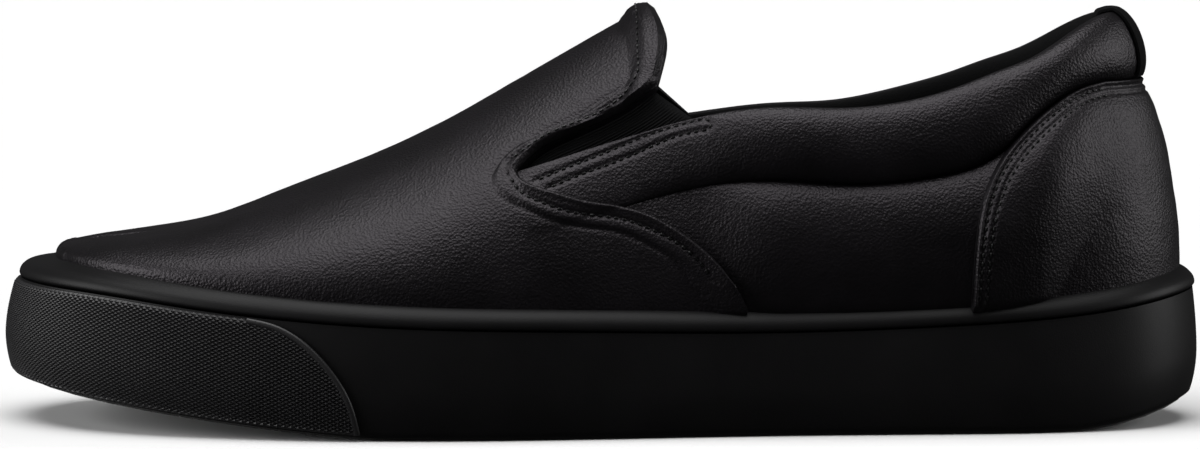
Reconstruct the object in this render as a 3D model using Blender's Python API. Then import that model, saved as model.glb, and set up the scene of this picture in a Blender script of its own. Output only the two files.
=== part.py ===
"""A left slip-on sneaker: a smooth leather upper with elastic gores and a padded collar, on a rubber cup sole.

Metres, +Z up, standing on Z = 0. The toe points along -X and the outer side of the foot is -Y.

Every piece is read from a few curves that run round the foot. A place on them is the angle `round_foot`: 0 at the
toe, rising to pi at the back of the heel over the inner side, and falling to -pi over the outer side. The upper is
one family of curves that rise from the edge of the sole to the crest: the ridge of the vamp in front, the rim of the
collar behind. `climb` is 0 at the sole's edge and 1 at the crest.
"""

import math
from collections import Counter, namedtuple

import bmesh
import bpy
import numpy as np

# Overall sizes of the sole
SOLE_LENGTH = 0.2687
BALL_WIDTH = 0.0994
SIDEWALL_HEIGHT = 0.0280
SIDEWALL_BOTTOM_INSET = 0.0018
SIDEWALL_TOP_INSET = 0.0018
WIDEST_SHARE = 0.35
SIDEWALL_LEAN_CURVE = 1.7
TOE_SPRING = 0.0098
TOE_SPRING_LENGTH = 0.0890
TOE_SPRING_CURVE = 1.35
HEEL_BEVEL = 0.0055
HEEL_BEVEL_LENGTH = 0.0300
HEEL_BEVEL_CURVE = 1.6
OUTSOLE_THICKNESS = 0.0042
OUTSOLE_STANDS_PROUD = 0.0005
FOXING_SKIN = 0.0030
FOREFOOT_STACK = 0.0120
HEEL_STACK = 0.0170
HEEL_RAMP_START = 0.30
HEEL_RAMP_END = 0.80
STRIP_HEIGHT = 0.0048
STRIP_STANDS_PROUD = 0.0005
STRIP_SLOPE = 0.28
STRIP_CAP_REACH = 0.85
STRIP_CAP_MOST = 0.75
STRIP_CAP_RISE = 0.80
BUMPER_THICKNESS = 0.0010
GROOVE_WIDTH = 0.0022
GROOVE_DEPTH = 0.0015
GROOVE_PITCH = 0.0150
GROOVE_WAVE = 0.0030
GROOVE_WAVES_ACROSS = 4
GROOVE_MARGIN = 0.0080
INSOLE_THICKNESS = 0.0040
INSOLE_CUP = 0.0025

# Overall sizes of the upper
LEDGE = 0.0050
INSTEP_HEIGHT = 0.0930
COLLAR_HEIGHT = 0.0724
COLLAR_WIDTH = 0.0560
COLLAR_SETBACK = 0.0192
WALL = 0.0018
VAMP_THICKNESS = 0.0011
COUNTER_THICKNESS = 0.0014
PAD_BULGE_OUT = 0.0038
PAD_BULGE_IN = 0.0026
RIM_THICKNESS = 0.0014
GORE_THICKNESS = 0.0012
GORE_TUCK = 0.0050
BACK_STRIP_WIDTH = 0.0110
BACK_STRIP_THICKNESS = 0.0010
TAB_ROLL = 0.0012
TAB_ROLL_WIDTH = 0.0070

# Fits
GAP = 0.0003
CUT_MARGIN = 0.0100
NOTCH_CUT_STARTS = 0.0010
WING_CUT_RUNS_BACK = 0.0040

# Where things lie along the foot, as shares of the sole's length
SPINE_START = 0.127
SPINE_GATHER = 0.300
NOTCH_POINT = 0.431
GORE_START = 0.005
GORE_END = 0.5745
SHEETS_PART = 0.620
COLLAR_LEAN_START = 0.558
COLLAR_LEAN_POWER = 1.6
VAMP_STOCK_END = 0.700
COUNTER_STOCK_START = 0.740
BUMPER_LOW_EDGE = 0.035
BUMPER_COLUMN_GAP = 0.012
TREAD_SHARE = 0.90

Outline = namedtuple("Outline", "along half_width bend")
Edge = namedtuple("Edge", "along height")
Ledge = namedtuple("Ledge", "along ledge top_inset")
Rim = namedtuple("Rim", "along half_width height inner_drop")
Section = namedtuple("Section", "along rise flare reach top_flare drop")
TabEnd = namedtuple("TabEnd", "across along")
Pad = namedtuple("Pad", "along height fullness")

# Plan of the sidewall. Widths and the centre line's bend towards the inner side are shares of half the ball width.
OUTLINE = (
    Outline(0.000, 0.000, 0.100),
    Outline(0.015, 0.345, 0.092),
    Outline(0.050, 0.600, 0.080),
    Outline(0.100, 0.778, 0.058),
    Outline(0.170, 0.906, 0.028),
    Outline(0.250, 0.980, 0.000),
    Outline(0.330, 1.000, -0.022),
    Outline(0.420, 0.960, -0.044),
    Outline(0.500, 0.884, -0.060),
    Outline(0.580, 0.802, -0.068),
    Outline(0.670, 0.752, -0.052),
    Outline(0.760, 0.741, -0.026),
    Outline(0.840, 0.722, -0.008),
    Outline(0.900, 0.655, 0.000),
    Outline(0.950, 0.520, 0.000),
    Outline(0.985, 0.300, 0.000),
    Outline(1.000, 0.000, 0.000),
)

# Top edge of the sole's side, as a share of the sidewall's height at the arch.
SIDEWALL_TOP = (
    Edge(0.000, 1.318),
    Edge(0.040, 1.300),
    Edge(0.105, 1.255),
    Edge(0.160, 1.195),
    Edge(0.245, 1.118),
    Edge(0.330, 1.068),
    Edge(0.500, 1.024),
    Edge(0.620, 1.000),
    Edge(0.750, 1.025),
    Edge(0.830, 1.062),
    Edge(0.915, 1.130),
    Edge(0.970, 1.205),
    Edge(1.000, 1.255),
)

# How far the upper stands in from the sole's widest line, and the sidewall's lean at its top, as shares of the ledge
# and of the sidewall's top inset along the sides.
LEDGES = (
    Ledge(0.000, 2.42, 2.40),
    Ledge(0.050, 1.90, 2.05),
    Ledge(0.150, 1.25, 1.40),
    Ledge(0.300, 1.04, 1.05),
    Ledge(0.600, 1.00, 1.00),
    Ledge(0.850, 1.04, 1.00),
    Ledge(1.000, 1.14, 1.00),
)

# Ridge of the vamp on the foot's centre line, as a share of the instep's height. Its last rows are cut away.
RIDGE = (
    Edge(0.127, 0.4420),
    Edge(0.179, 0.4800),
    Edge(0.231, 0.5387),
    Edge(0.298, 0.6150),
    Edge(0.365, 0.7032),
    Edge(0.432, 0.8129),
    Edge(0.499, 0.9237),
    Edge(0.543, 0.9950),
    Edge(0.595, 1.0560),
    Edge(0.651, 1.0850),
)

# Rim of the collar, seen from above as shares of half its width, its height as a share of the collar's height at the
# ankle, and how much lower it lies on the inner side. Its first rows are the lower edge of the gore's notch.
RIM = (
    Rim(0.431, 0.800, 0.8010, 0.000),
    Rim(0.510, 0.880, 0.8920, 0.012),
    Rim(0.5855, 0.950, 0.9696, 0.032),
    Rim(0.651, 1.000, 0.9970, 0.034),
    Rim(0.707, 1.000, 0.9935, 0.022),
    Rim(0.752, 0.986, 1.0040, 0.008),
    Rim(0.789, 0.964, 1.0249, 0.000),
    Rim(0.826, 0.929, 1.0580, 0.000),
    Rim(0.863, 0.868, 1.0994, 0.000),
    Rim(0.9006, 0.779, 1.1395, 0.000),
    Rim(0.938, 0.630, 1.1980, 0.000),
    Rim(0.9676, 0.440, 1.2450, 0.000),
    Rim(1.000, 0.000, 1.2720, 0.000),
)

# Upper edge of the notch: the vamp's tab over the gore, as a share of the way from the notch's lower edge to the ridge.
TAB_EDGE = (
    Edge(0.431, 0.0010),
    Edge(0.440, 0.1045),
    Edge(0.466, 0.2055),
    Edge(0.507, 0.2310),
    Edge(0.528, 0.2725),
    Edge(0.540, 0.3210),
    Edge(0.556, 0.4150),
)

# End of the tab from its edge over the gore, 0, to the ridge, 1.
TAB_END = (
    TabEnd(0.00, 0.5455),
    TabEnd(0.25, 0.5520),
    TabEnd(0.50, 0.5505),
    TabEnd(0.75, 0.5455),
    TabEnd(1.00, 0.5435),
)

# Lower edge of the vamp's wing, from the point of the notch down to the sole, as a share of the collar's height.
WING_EDGE = (
    Edge(0.4230, 0.8120),
    Edge(0.4400, 0.7650),
    Edge(0.4620, 0.7380),
    Edge(0.4860, 0.7130),
    Edge(0.5130, 0.6980),
    Edge(0.5360, 0.6770),
    Edge(0.5560, 0.6420),
    Edge(0.5770, 0.5910),
    Edge(0.5960, 0.5270),
    Edge(0.6090, 0.4630),
    Edge(0.6190, 0.3970),
)

# Front and top edge of the heel counter, from the sole to the back of the heel, as a share of the collar's height.
COUNTER_EDGE = (
    Edge(0.8020, 0.3900),
    Edge(0.8030, 0.4700),
    Edge(0.8060, 0.5450),
    Edge(0.8150, 0.6560),
    Edge(0.8400, 0.8000),
    Edge(0.8690, 0.8960),
    Edge(0.9120, 0.9970),
    Edge(0.9400, 1.0430),
    Edge(0.9620, 1.0600),
)

# The padded collar: how far it reaches down from the rim, as a share of the collar's height, and how full it is.
PAD = (
    Pad(0.431, 0.200, 0.00),
    Pad(0.510, 0.205, 0.30),
    Pad(0.5855, 0.210, 0.65),
    Pad(0.651, 0.222, 0.95),
    Pad(0.707, 0.230, 1.00),
    Pad(0.789, 0.240, 1.00),
    Pad(0.837, 0.240, 1.00),
    Pad(0.863, 0.222, 1.00),
    Pad(0.9006, 0.205, 1.00),
    Pad(0.938, 0.205, 1.00),
    Pad(1.000, 0.216, 1.00),
)

# Shape of each rising curve: its lower handle's rise as a share of its height, the flare of that handle as a share of
# the ledge, the upper handle's reach over the vamp as a share of its span, and behind the throat the upper handle's
# flare and drop as shares of the ledge and of the height.
SECTIONS = (
    Section(0.000, 0.60, 0.04, 0.50, 0.30, 0.30),
    Section(0.100, 0.58, 0.08, 0.50, 0.30, 0.30),
    Section(0.220, 0.52, 0.12, 0.53, 0.30, 0.30),
    Section(0.340, 0.50, 0.14, 0.54, 0.30, 0.30),
    Section(0.480, 0.49, 0.06, 0.50, 0.40, 0.30),
    Section(0.600, 0.43, 0.30, 0.50, 0.50, 0.30),
    Section(0.707, 0.40, 0.50, 0.50, 0.50, 0.30),
    Section(0.863, 0.40, 0.40, 0.50, 0.65, 0.30),
    Section(1.000, 0.42, 0.06, 0.50, 0.80, 0.30),
)

# Back edge of the toe bumper: its height as a share of the sidewall's height there.
BUMPER_EDGE = (
    Edge(0.2100, 0.800),
    Edge(0.2300, 0.780),
    Edge(0.2480, 0.720),
    Edge(0.2640, 0.620),
    Edge(0.2790, 0.480),
    Edge(0.2920, 0.300),
    Edge(0.3000, 0.040),
)

LEATHER = (0.012, 0.011, 0.013)
ELASTIC = (0.008, 0.008, 0.008)
RUBBER = (0.010, 0.010, 0.011)
LINING = (0.020, 0.020, 0.020)
FINISHES = {
    "upper": (LEATHER, 0.45),
    "vamp": (LEATHER, 0.40),
    "heel_counter": (LEATHER, 0.42),
    "gore_lateral": (ELASTIC, 0.85),
    "gore_medial": (ELASTIC, 0.85),
    "back_strip": (ELASTIC, 0.80),
    "insole": (LINING, 0.90),
    "midsole": (RUBBER, 0.80),
    "outsole": (RUBBER, 0.75),
    "foxing": (RUBBER, 0.60),
    "foxing_strip": (RUBBER, 0.55),
    "toe_bumper": (RUBBER, 0.60),
}

# The back strip's path: how far below the rim, whether on the collar's inner side, and the lift over the rim.
BACK_STRIP_PATH = (
    (0.95, False, 0), (0.80, False, 0), (0.55, False, 0), (0.30, False, 0), (0.12, False, 0), (0.03, False, 0.4),
    (0.00, False, 1), (0.00, True, 1), (0.03, True, 0.4), (0.12, True, 0), (0.30, True, 0), (0.60, True, 0),
)  # fmt: skip
FOXING_STEPS = (0.0, 0.12, 0.4, 0.72, 1.0)
BUMPER_STEPS = (0.0, 0.2, 0.45, 0.72, 1.0)
GORE_TUCK_STEPS = (0.0, 0.10, 0.24)
TOE_COLUMNS = 12
COLLAR_STATIONS = (
    0.451, 0.475, 0.502, 0.530, 0.558, 0.5855, 0.618, 0.656, 0.698, 0.740, 0.782, 0.823, 0.862, 0.898, 0.930,
    0.957, 0.978,
)  # fmt: skip
TAB_STEPS = (0.0, 0.22, 0.44, 0.64, 0.78, 0.87, 0.94, 1.0)
QUARTER_STEPS = (0.0, 0.22, 0.46, 0.72, 1.0)
PAD_STEPS = (1.0, 0.90, 0.62, 0.30, 0.10, 0.02, 0.0)
VAMP_STEPS = (0.0, 0.18, 0.42, 0.70, 1.0)

TWO_PI = 2 * math.pi
UP = np.array([0.0, 0.0, 1.0])


def angle_at(along):
    """The angle round the foot, on the inner side, of a share of the sole's length."""
    return np.arccos(np.clip(1 - 2 * np.asarray(along, float), -1, 1))


def along_at(round_foot):
    return (1 - np.cos(round_foot)) / 2


def spline(places, values):
    """The natural cubic spline through the points, as a function."""
    places, values = np.asarray(places, float), np.asarray(values, float)
    count, step = len(places), np.diff(places)
    matrix, right = np.zeros((count, count)), np.zeros(count)
    matrix[0, 0] = matrix[-1, -1] = 1
    for i in range(1, count - 1):
        matrix[i, i - 1 : i + 2] = step[i - 1], 2 * (step[i - 1] + step[i]), step[i]
        right[i] = 6 * ((values[i + 1] - values[i]) / step[i] - (values[i] - values[i - 1]) / step[i - 1])
    bend = np.linalg.solve(matrix, right)

    def read(at):
        i = np.clip(np.searchsorted(places, at) - 1, 0, count - 2)
        past, left, width = at - places[i], places[i + 1] - at, step[i]
        curved = (bend[i + 1] * past**3 + bend[i] * left**3) / (6 * width)
        return curved + (values[i + 1] / width - bend[i + 1] * width / 6) * past + (
            values[i] / width - bend[i] * width / 6
        ) * left

    return read


def table(rows, column):
    """A column of a table as a smooth function of the share of the sole's length, level past its ends."""
    places = [row[0] for row in rows]
    read = spline(places, [getattr(row, column) for row in rows])
    return lambda at: read(np.clip(at, places[0], places[-1]))


def loop_table(rows, column, mirror):
    """A column as a function of the angle round the foot, mirrored so that it runs smoothly over toe and heel.
    mirror is -1 for half widths, which change sign across the centre line, and 1 for the rest."""
    angle = angle_at([row.along for row in rows])
    value = np.array([getattr(row, column) for row in rows], float)
    past_toe = angle > 1e-9
    angle = np.concatenate([-angle[past_toe][::-1], angle])
    value = np.concatenate([mirror * value[past_toe][::-1], value])
    if abs(angle[-1] - math.pi) < 1e-9:
        angle, value = angle[1:], value[1:]
        angle = np.concatenate([angle - TWO_PI, angle, angle + TWO_PI])
        value = np.concatenate([value, value, value])
    return spline(angle, value)


def ease(share):
    """0 to 1 with no kink at either end."""
    share = np.clip(share, 0, 1)
    return share**3 * (10 - 15 * share + 6 * share**2)


def stack(*parts):
    return np.stack(np.broadcast_arrays(*parts), axis=-1)


half_outline = loop_table(OUTLINE, "half_width", -1)
outline_bend = loop_table(OUTLINE, "bend", 1)
sidewall_top = loop_table(SIDEWALL_TOP, "height", 1)
ledge_share = loop_table(LEDGES, "ledge", 1)
top_inset_share = loop_table(LEDGES, "top_inset", 1)
ridge_share = table(RIDGE, "height")
tab_edge_share = table(TAB_EDGE, "height")
tab_end_along = table(TAB_END, "along")


def mirrored_tail(rows, column, mirror):
    """Like loop_table for a table that starts behind the toe: it is only read from its first row back."""
    angle = angle_at([row.along for row in rows])
    value = np.array([getattr(row, column) for row in rows], float)
    read = spline(
        np.concatenate([angle, TWO_PI - angle[:-1][::-1]]), np.concatenate([value, mirror * value[:-1][::-1]])
    )
    return lambda round_foot: read(np.maximum(np.abs(round_foot), angle[0]))


rim_half_share = mirrored_tail(RIM, "half_width", -1)
rim_height_share = mirrored_tail(RIM, "height", 1)
rim_inner_drop = mirrored_tail(RIM, "inner_drop", 1)
pad_height_share = mirrored_tail(PAD, "height", 1)
pad_fullness = mirrored_tail(PAD, "fullness", 1)
section = {name: loop_table(SECTIONS, name, 1) for name in Section._fields[1:]}


def outline(round_foot):
    """Plan point of the sole's widest line."""
    across = (outline_bend(round_foot) + half_outline(round_foot)) * BALL_WIDTH / 2
    return stack(along_at(round_foot) * SOLE_LENGTH, across)


def outward(round_foot):
    """Plan direction that points out of the sole."""
    step = 1e-4
    run = outline(round_foot + step) - outline(round_foot - step)
    run /= np.linalg.norm(run, axis=-1, keepdims=True)
    return stack(-run[..., 1], run[..., 0])


def ledge(round_foot):
    return LEDGE * ledge_share(round_foot)


def inset_outline(round_foot, inset):
    return outline(round_foot) - outward(round_foot) * np.asarray(inset)[..., None]


def ground(along):
    """Height of the sole's underside: flat, with the toe sprung up and the back of the heel bevelled."""
    toe = np.clip(1 - along * SOLE_LENGTH / TOE_SPRING_LENGTH, 0, None)
    heel = np.clip(1 - (1 - along) * SOLE_LENGTH / HEEL_BEVEL_LENGTH, 0, None)
    return TOE_SPRING * toe**TOE_SPRING_CURVE + HEEL_BEVEL * heel**HEEL_BEVEL_CURVE


def lip(round_foot):
    """Height of the top of the sole's side, where the upper comes out of it."""
    return SIDEWALL_HEIGHT * sidewall_top(round_foot)


def footbed(along):
    """Height of the midsole's top."""
    ramp = ease((along - HEEL_RAMP_START) / (HEEL_RAMP_END - HEEL_RAMP_START))
    return ground(along) + FOREFOOT_STACK + (HEEL_STACK - FOREFOOT_STACK) * ramp


def sidewall_inset(round_foot, share):
    """How far the sidewall's face stands in from its widest line, at a share of its height."""
    low = SIDEWALL_BOTTOM_INSET * np.clip(1 - share / WIDEST_SHARE, 0, None) ** 2
    high = np.clip((share - WIDEST_SHARE) / (1 - WIDEST_SHARE), 0, None) ** SIDEWALL_LEAN_CURVE
    return low + SIDEWALL_TOP_INSET * top_inset_share(round_foot) * high


def with_height(plan, height):
    return stack(plan[..., 0], plan[..., 1], height)


def sidewall_point(round_foot, share, out=0.0):
    """Point of the sidewall's face at a share of its height, moved out by a distance."""
    low = ground(along_at(round_foot))
    height = low + (lip(round_foot) - low) * share
    return with_height(inset_outline(round_foot, sidewall_inset(round_foot, share) - out), height)


def skirt(round_foot):
    """How far the upper runs down inside the sole, from the sole's top edge to the midsole."""
    return lip(round_foot) - footbed(along_at(round_foot)) - GAP


def rising_curve(round_foot, climb, top, high, shape):
    """The curve from the sole's edge to the crest. Below climb 0 it runs straight down."""
    base = with_height(inset_outline(round_foot, ledge(round_foot)), lip(round_foot))
    out = with_height(outward(round_foot), np.zeros_like(round_foot))
    rise = (top[..., 2] - base[..., 2])[..., None]
    low = base + out * (LEDGE * shape["flare"])[..., None] + UP * rise * shape["rise"][..., None]
    t = np.clip(climb, 0, 1)[..., None]
    curve = base * (1 - t) ** 3 + 3 * low * (1 - t) ** 2 * t + 3 * high(base, rise, out) * (1 - t) * t**2 + top * t**3
    return curve + UP * (np.minimum(climb, 0) * skirt(round_foot))[..., None]


def vamp_form(round_foot, climb):
    """Point of the sheet that rises to the ridge of the vamp, which fans out round the toe."""
    round_foot, climb = np.broadcast_arrays(np.asarray(round_foot, float), np.asarray(climb, float))
    along = along_at(round_foot)
    at = along + SPINE_START * np.clip(1 - along / SPINE_GATHER, 0, None) ** 2
    top = stack(at * SOLE_LENGTH, outline_bend(angle_at(at)) * BALL_WIDTH / 2, INSTEP_HEIGHT * ridge_share(at))
    shape = {name: read(round_foot) for name, read in section.items()}
    step = 1e-4
    slope = (ridge_share(at + step) - ridge_share(at - step)) * INSTEP_HEIGHT / (2 * step * SOLE_LENGTH)

    def high(base, rise, out):
        span = (base - top) * shape["reach"][..., None]
        return top + stack(span[..., 0], span[..., 1], span[..., 0] * slope)

    return rising_curve(round_foot, climb, top, high, shape)


def rim_form(round_foot, climb):
    """Point of the sheet that rises to the rim of the collar."""
    round_foot, climb = np.broadcast_arrays(np.asarray(round_foot, float), np.asarray(climb, float))
    along = along_at(round_foot)
    lean = np.clip((along - COLLAR_LEAN_START) / (1 - COLLAR_LEAN_START), 0, None) ** COLLAR_LEAN_POWER
    at = along - COLLAR_SETBACK / SOLE_LENGTH * lean
    half = rim_half_share(round_foot) * COLLAR_WIDTH / 2 * np.where(round_foot < 0, -1, 1)
    across = outline_bend(angle_at(at)) * BALL_WIDTH / 2 + half
    top = stack(at * SOLE_LENGTH, across, rim_height(round_foot))
    shape = {name: read(round_foot) for name, read in section.items()}

    def high(base, rise, out):
        return top + out * (LEDGE * shape["top_flare"])[..., None] - UP * rise * shape["drop"][..., None]

    return rising_curve(round_foot, climb, top, high, shape)


def quarter_form(round_foot, climb):
    """Point of the lower sheet: the vamp's own below the notch in front of it, and the collar's behind it."""
    round_foot, climb = np.broadcast_arrays(np.asarray(round_foot, float), np.asarray(climb, float))
    along = along_at(round_foot)
    scaled = np.where(climb > 0, climb * notch_split(along), climb)
    blend = ease((along - NOTCH_POINT) / (SHEETS_PART - NOTCH_POINT))[..., None]
    return vamp_form(round_foot, scaled) * (1 - blend) + rim_form(round_foot, climb) * blend


def sheet_normal(sheet, round_foot, climb):
    """Outward direction of a sheet. At the ridge of the vamp both sides are averaged."""
    step = 2e-3
    round_foot, climb = np.broadcast_arrays(np.asarray(round_foot, float), np.asarray(climb, float))
    at = np.clip(climb, step, 1 - 4 * step)

    def one_side(angle):
        around = sheet(angle + step, at) - sheet(angle - step, at)
        upward = sheet(angle, at + step) - sheet(angle, at - step)
        normal = np.cross(upward, around)
        return normal / np.linalg.norm(normal, axis=-1, keepdims=True)

    normal = one_side(round_foot)
    if sheet is vamp_form:
        both = normal + one_side(-round_foot)
        both /= np.linalg.norm(both, axis=-1, keepdims=True)
        normal = np.where((climb > 1 - step)[..., None], both, normal)
    return normal


def climb_at_height(sheet, round_foot, height):
    """The climb at which each rising curve of a sheet reaches a height."""
    round_foot, height = np.broadcast_arrays(np.asarray(round_foot, float), np.asarray(height, float))
    low, high = np.zeros(round_foot.shape), np.ones(round_foot.shape)
    for _ in range(26):
        middle = (low + high) / 2
        under = sheet(round_foot, middle)[..., 2] < height
        low, high = np.where(under, middle, low), np.where(under, high, middle)
    return (low + high) / 2


def rim_height(round_foot):
    drop = np.where(np.asarray(round_foot) > 0, rim_inner_drop(round_foot), 0)
    return COLLAR_HEIGHT * (rim_height_share(round_foot) - drop)


def tab_edge_height(along):
    rim, ridge = rim_height(-angle_at(along)), INSTEP_HEIGHT * ridge_share(along)
    return rim + (ridge - rim) * tab_edge_share(along)


def crease_height(round_foot):
    return rim_height(round_foot) - COLLAR_HEIGHT * pad_height_share(round_foot)


def measure_split():
    """Where the notch splits the vamp's sheet: its climb at the notch's lower edge, level in front of the notch."""
    along = np.linspace(NOTCH_POINT, SHEETS_PART, 9)
    angle = angle_at(along)
    read = spline(along, climb_at_height(vamp_form, angle, rim_height(-angle)))
    return lambda at: read(np.clip(at, NOTCH_POINT, SHEETS_PART))


notch_split = measure_split()


def pad_offsets(round_foot, below_rim):
    """Outer and inner offsets of the padded wall from the form. below_rim is 0 at the rim and 1 at the crease."""
    full = pad_fullness(round_foot)
    x = np.clip(below_rim, 0, 1)
    swell = np.sqrt(np.clip(1 - (2 * x - 1) ** 2, 0, None))
    edge = RIM_THICKNESS / 2 + (WALL - RIM_THICKNESS) / 2 * x
    outer = full * (edge - WALL / 2 + PAD_BULGE_OUT * swell)
    inner = -WALL - full * (edge - WALL / 2 + PAD_BULGE_IN * swell)
    return outer, inner


class Grid:
    """Points that pieces of the upper share. Each lies on a sheet, with an outer and an inner offset, and is found by
    a key, so that the faces of both sides and both sheets meet in shared points."""

    def __init__(self):
        self.keys, self.points, self.normals, self.offsets, self.lips, self.faces = {}, [], [], [], [], []

    def row(self, keys, sheet, angles, climbs, outer=0.0, inner=-WALL):
        """Adds a row of points and returns their numbers."""
        angles, climbs = np.broadcast_arrays(np.asarray(angles, float), np.asarray(climbs, float))
        outer, inner = np.broadcast_to(outer, angles.shape), np.broadcast_to(inner, angles.shape)
        points, normals = sheet(angles, climbs), sheet_normal(sheet, angles, climbs)
        numbers = []
        for key, *values in zip(keys, points, normals, outer, inner, lip(angles), strict=True):
            if key not in self.keys:
                self.keys[key] = len(self.points)
                self.points.append(values[0])
                self.normals.append(values[1])
                self.offsets.append(values[2:4])
                self.lips.append(values[4])
            numbers.append(self.keys[key])
        return numbers

    def join(self, first, second):
        self.faces += [(first[i], second[i], second[i + 1], first[i + 1]) for i in range(len(first) - 1)]


def toe_angles():
    return np.linspace(0, float(angle_at(NOTCH_POINT)), TOE_COLUMNS + 1)


def strip_edge_angle():
    """The angle at which the collar's rim is half the back strip's width from the centre line."""
    angle = np.linspace(float(angle_at(0.95)), math.pi, 200)
    half = rim_half_share(angle) * COLLAR_WIDTH / 2
    return float(np.interp(-BACK_STRIP_WIDTH / 2, -half, angle))


def collar_angles():
    """Column angles from the notch to the heel, with a column at the back strip's edge."""
    ends = float(angle_at(NOTCH_POINT)), strip_edge_angle(), math.pi
    return np.concatenate([ends[:1], angle_at(COLLAR_STATIONS), ends[1:]])


def column_angles():
    """Every column's angle on one side, from toe to heel. The sole's pieces use the same ones."""
    return np.concatenate([toe_angles(), collar_angles()[1:]])


def tab_place(step, across):
    """Angle and climb of a point of the vamp's tab: step runs back from the notch, across up to the ridge."""
    along = NOTCH_POINT + (tab_end_along(across) - NOTCH_POINT) * step
    angle = angle_at(along)
    edge = climb_at_height(vamp_form, angle, tab_edge_height(along))
    return angle, edge + (1 - edge) * across


def tab_swell(step, across):
    """The padded roll along the end of the tab."""
    length = (tab_end_along(across) - NOTCH_POINT) * SOLE_LENGTH
    x = np.clip((1 - step) * length / TAB_ROLL_WIDTH, 0, 1)
    return TAB_ROLL * np.sqrt(np.clip(1 - (2 * x - 1) ** 2, 0, None))


def pad_column(angle):
    """Climbs and offsets of a column's rows above its crease, from just above it to the rim."""
    crease = climb_at_height(quarter_form, angle, crease_height(angle))
    below = np.array(PAD_STEPS[1:])
    outer, inner = pad_offsets(angle, below)
    return float(crease), 1 - (1 - crease) * below, outer, inner


def upper_grid():
    """The upper as a grid: front columns over the whole vamp, then quarter and tab on either side of the notch."""
    grid = Grid()
    at_notch = float(angle_at(NOTCH_POINT))
    notch_crease, notch_climbs, *_ = pad_column(at_notch)
    split = float(notch_split(NOTCH_POINT))
    across = np.array(VAMP_STEPS)

    for side in (-1, 1):

        def quarter_column(angle, name, padded):
            if padded:
                crease, climbs, outer, inner = pad_column(side * angle)
            else:
                crease, climbs, outer, inner = notch_crease, notch_climbs, 0.0, -WALL
            walls = np.concatenate([[-1.0, -0.35], crease * np.array(QUARTER_STEPS)])
            keys = [(name, "skirt" if climb < 0 else "wall", i) for i, climb in enumerate(walls)]
            rows = grid.row(keys, quarter_form, side * angle, walls)
            keys = [(name, "pad", i) for i in range(len(climbs))]
            return rows + grid.row(keys, quarter_form, side * angle, climbs, outer, inner)

        last_low = last_high = None
        for n, angle in enumerate(toe_angles()):
            name = (side if n else 0, n)
            low = quarter_column(angle, name, False)
            keys = [(name, "vamp", i) for i in range(1, len(across) - 1)] + [("ridge", n)]
            high = [low[-1]] + grid.row(keys, vamp_form, side * angle, (split + (1 - split) * across)[1:])
            if last_low:
                grid.join(last_low, low)
                grid.join(last_high, high)
            last_low, last_high = low, high

        for n, step in enumerate(TAB_STEPS[1:], start=1):
            angles, climbs = tab_place(step, across)
            keys = [(side, "tab", n, i) for i in range(len(across) - 1)] + [("tab ridge", n)]
            high = grid.row(keys, vamp_form, side * angles, climbs, tab_swell(step, across))
            grid.join(last_high, high)
            last_high = high

        for n, angle in enumerate(collar_angles()[1:], start=1):
            name = (side if angle < math.pi - 1e-9 else 0, "collar", n)
            low = quarter_column(angle, name, True)
            grid.join(last_low, low)
            last_low = low
    return grid


def sole_middle():
    """Centre of the sole's box in plan. Only the toe bumper reaches past the widest line, at the toe and sides."""
    points = outline(np.linspace(-math.pi, math.pi, 721))
    low, high = points.min(axis=0), points.max(axis=0)
    low[0] -= BUMPER_THICKNESS + GAP
    return (low + high) / 2


ORIGIN = sole_middle()


def make_object(name, points, faces):
    """An object from points in the foot's own places. The part's origin lies under the middle of the sole."""
    mesh = bpy.data.meshes.new(name)
    placed = np.asarray(points, float) - np.append(ORIGIN, 0.0)
    mesh.from_pydata([tuple(point) for point in placed], [], [tuple(face) for face in faces])
    work = bmesh.new()
    work.from_mesh(mesh)
    bmesh.ops.recalc_face_normals(work, faces=work.faces)
    if work.calc_volume(signed=True) < 0:
        bmesh.ops.reverse_faces(work, faces=work.faces)
    work.to_mesh(mesh)
    work.free()
    mesh.shade_smooth()
    mesh.set_sharp_from_angle(angle=math.radians(38))
    made = bpy.data.objects.new(name, mesh)
    bpy.context.scene.collection.objects.link(made)
    return made


def shell(name, grid, faces, raised=0.0, thickness=None):
    """A closed wall over the grid's faces. Its outer face is the grid's own, raised, and its inner face is the grid's,
    or lies a thickness below the outer one, so that an overlay follows what it covers."""
    used = sorted({corner for face in faces for corner in face})
    index = {corner: i for i, corner in enumerate(used)}
    points, normals = np.array(grid.points)[used], np.array(grid.normals)[used]
    outer, inner = np.array(grid.offsets)[used].T
    outer = outer + raised
    if thickness:
        inner = outer - thickness
    skin = [tuple(index[c] for c in face) for face in faces]
    outside, inside = points + normals * outer[:, None], points + normals * inner[:, None]
    if thickness:
        above_strip = np.array(grid.lips)[used] + GAP
        outside[:, 2], inside[:, 2] = np.maximum(outside[:, 2], above_strip), np.maximum(inside[:, 2], above_strip)
    return close_wall(name, outside, inside, skin)


def close_wall(name, outside, inside, skin):
    """A closed solid from two like sheets of points and the faces of one of them."""
    count = len(outside)
    sides = Counter(tuple(sorted((face[i - 1], face[i]))) for face in skin for i in range(len(face)))
    closed = list(skin) + [tuple(count + c for c in face) for face in skin]
    closed += [(a, b, b + count, a + count) for (a, b), faces_there in sides.items() if faces_there == 1]
    return make_object(name, np.concatenate([outside, inside]), closed)


def lattice_faces(rows, columns):
    """Faces of a lattice of points that are numbered row by row."""
    return [
        (r * columns + c, r * columns + c + 1, (r + 1) * columns + c + 1, (r + 1) * columns + c)
        for r in range(rows - 1)
        for c in range(columns - 1)
    ]


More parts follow.
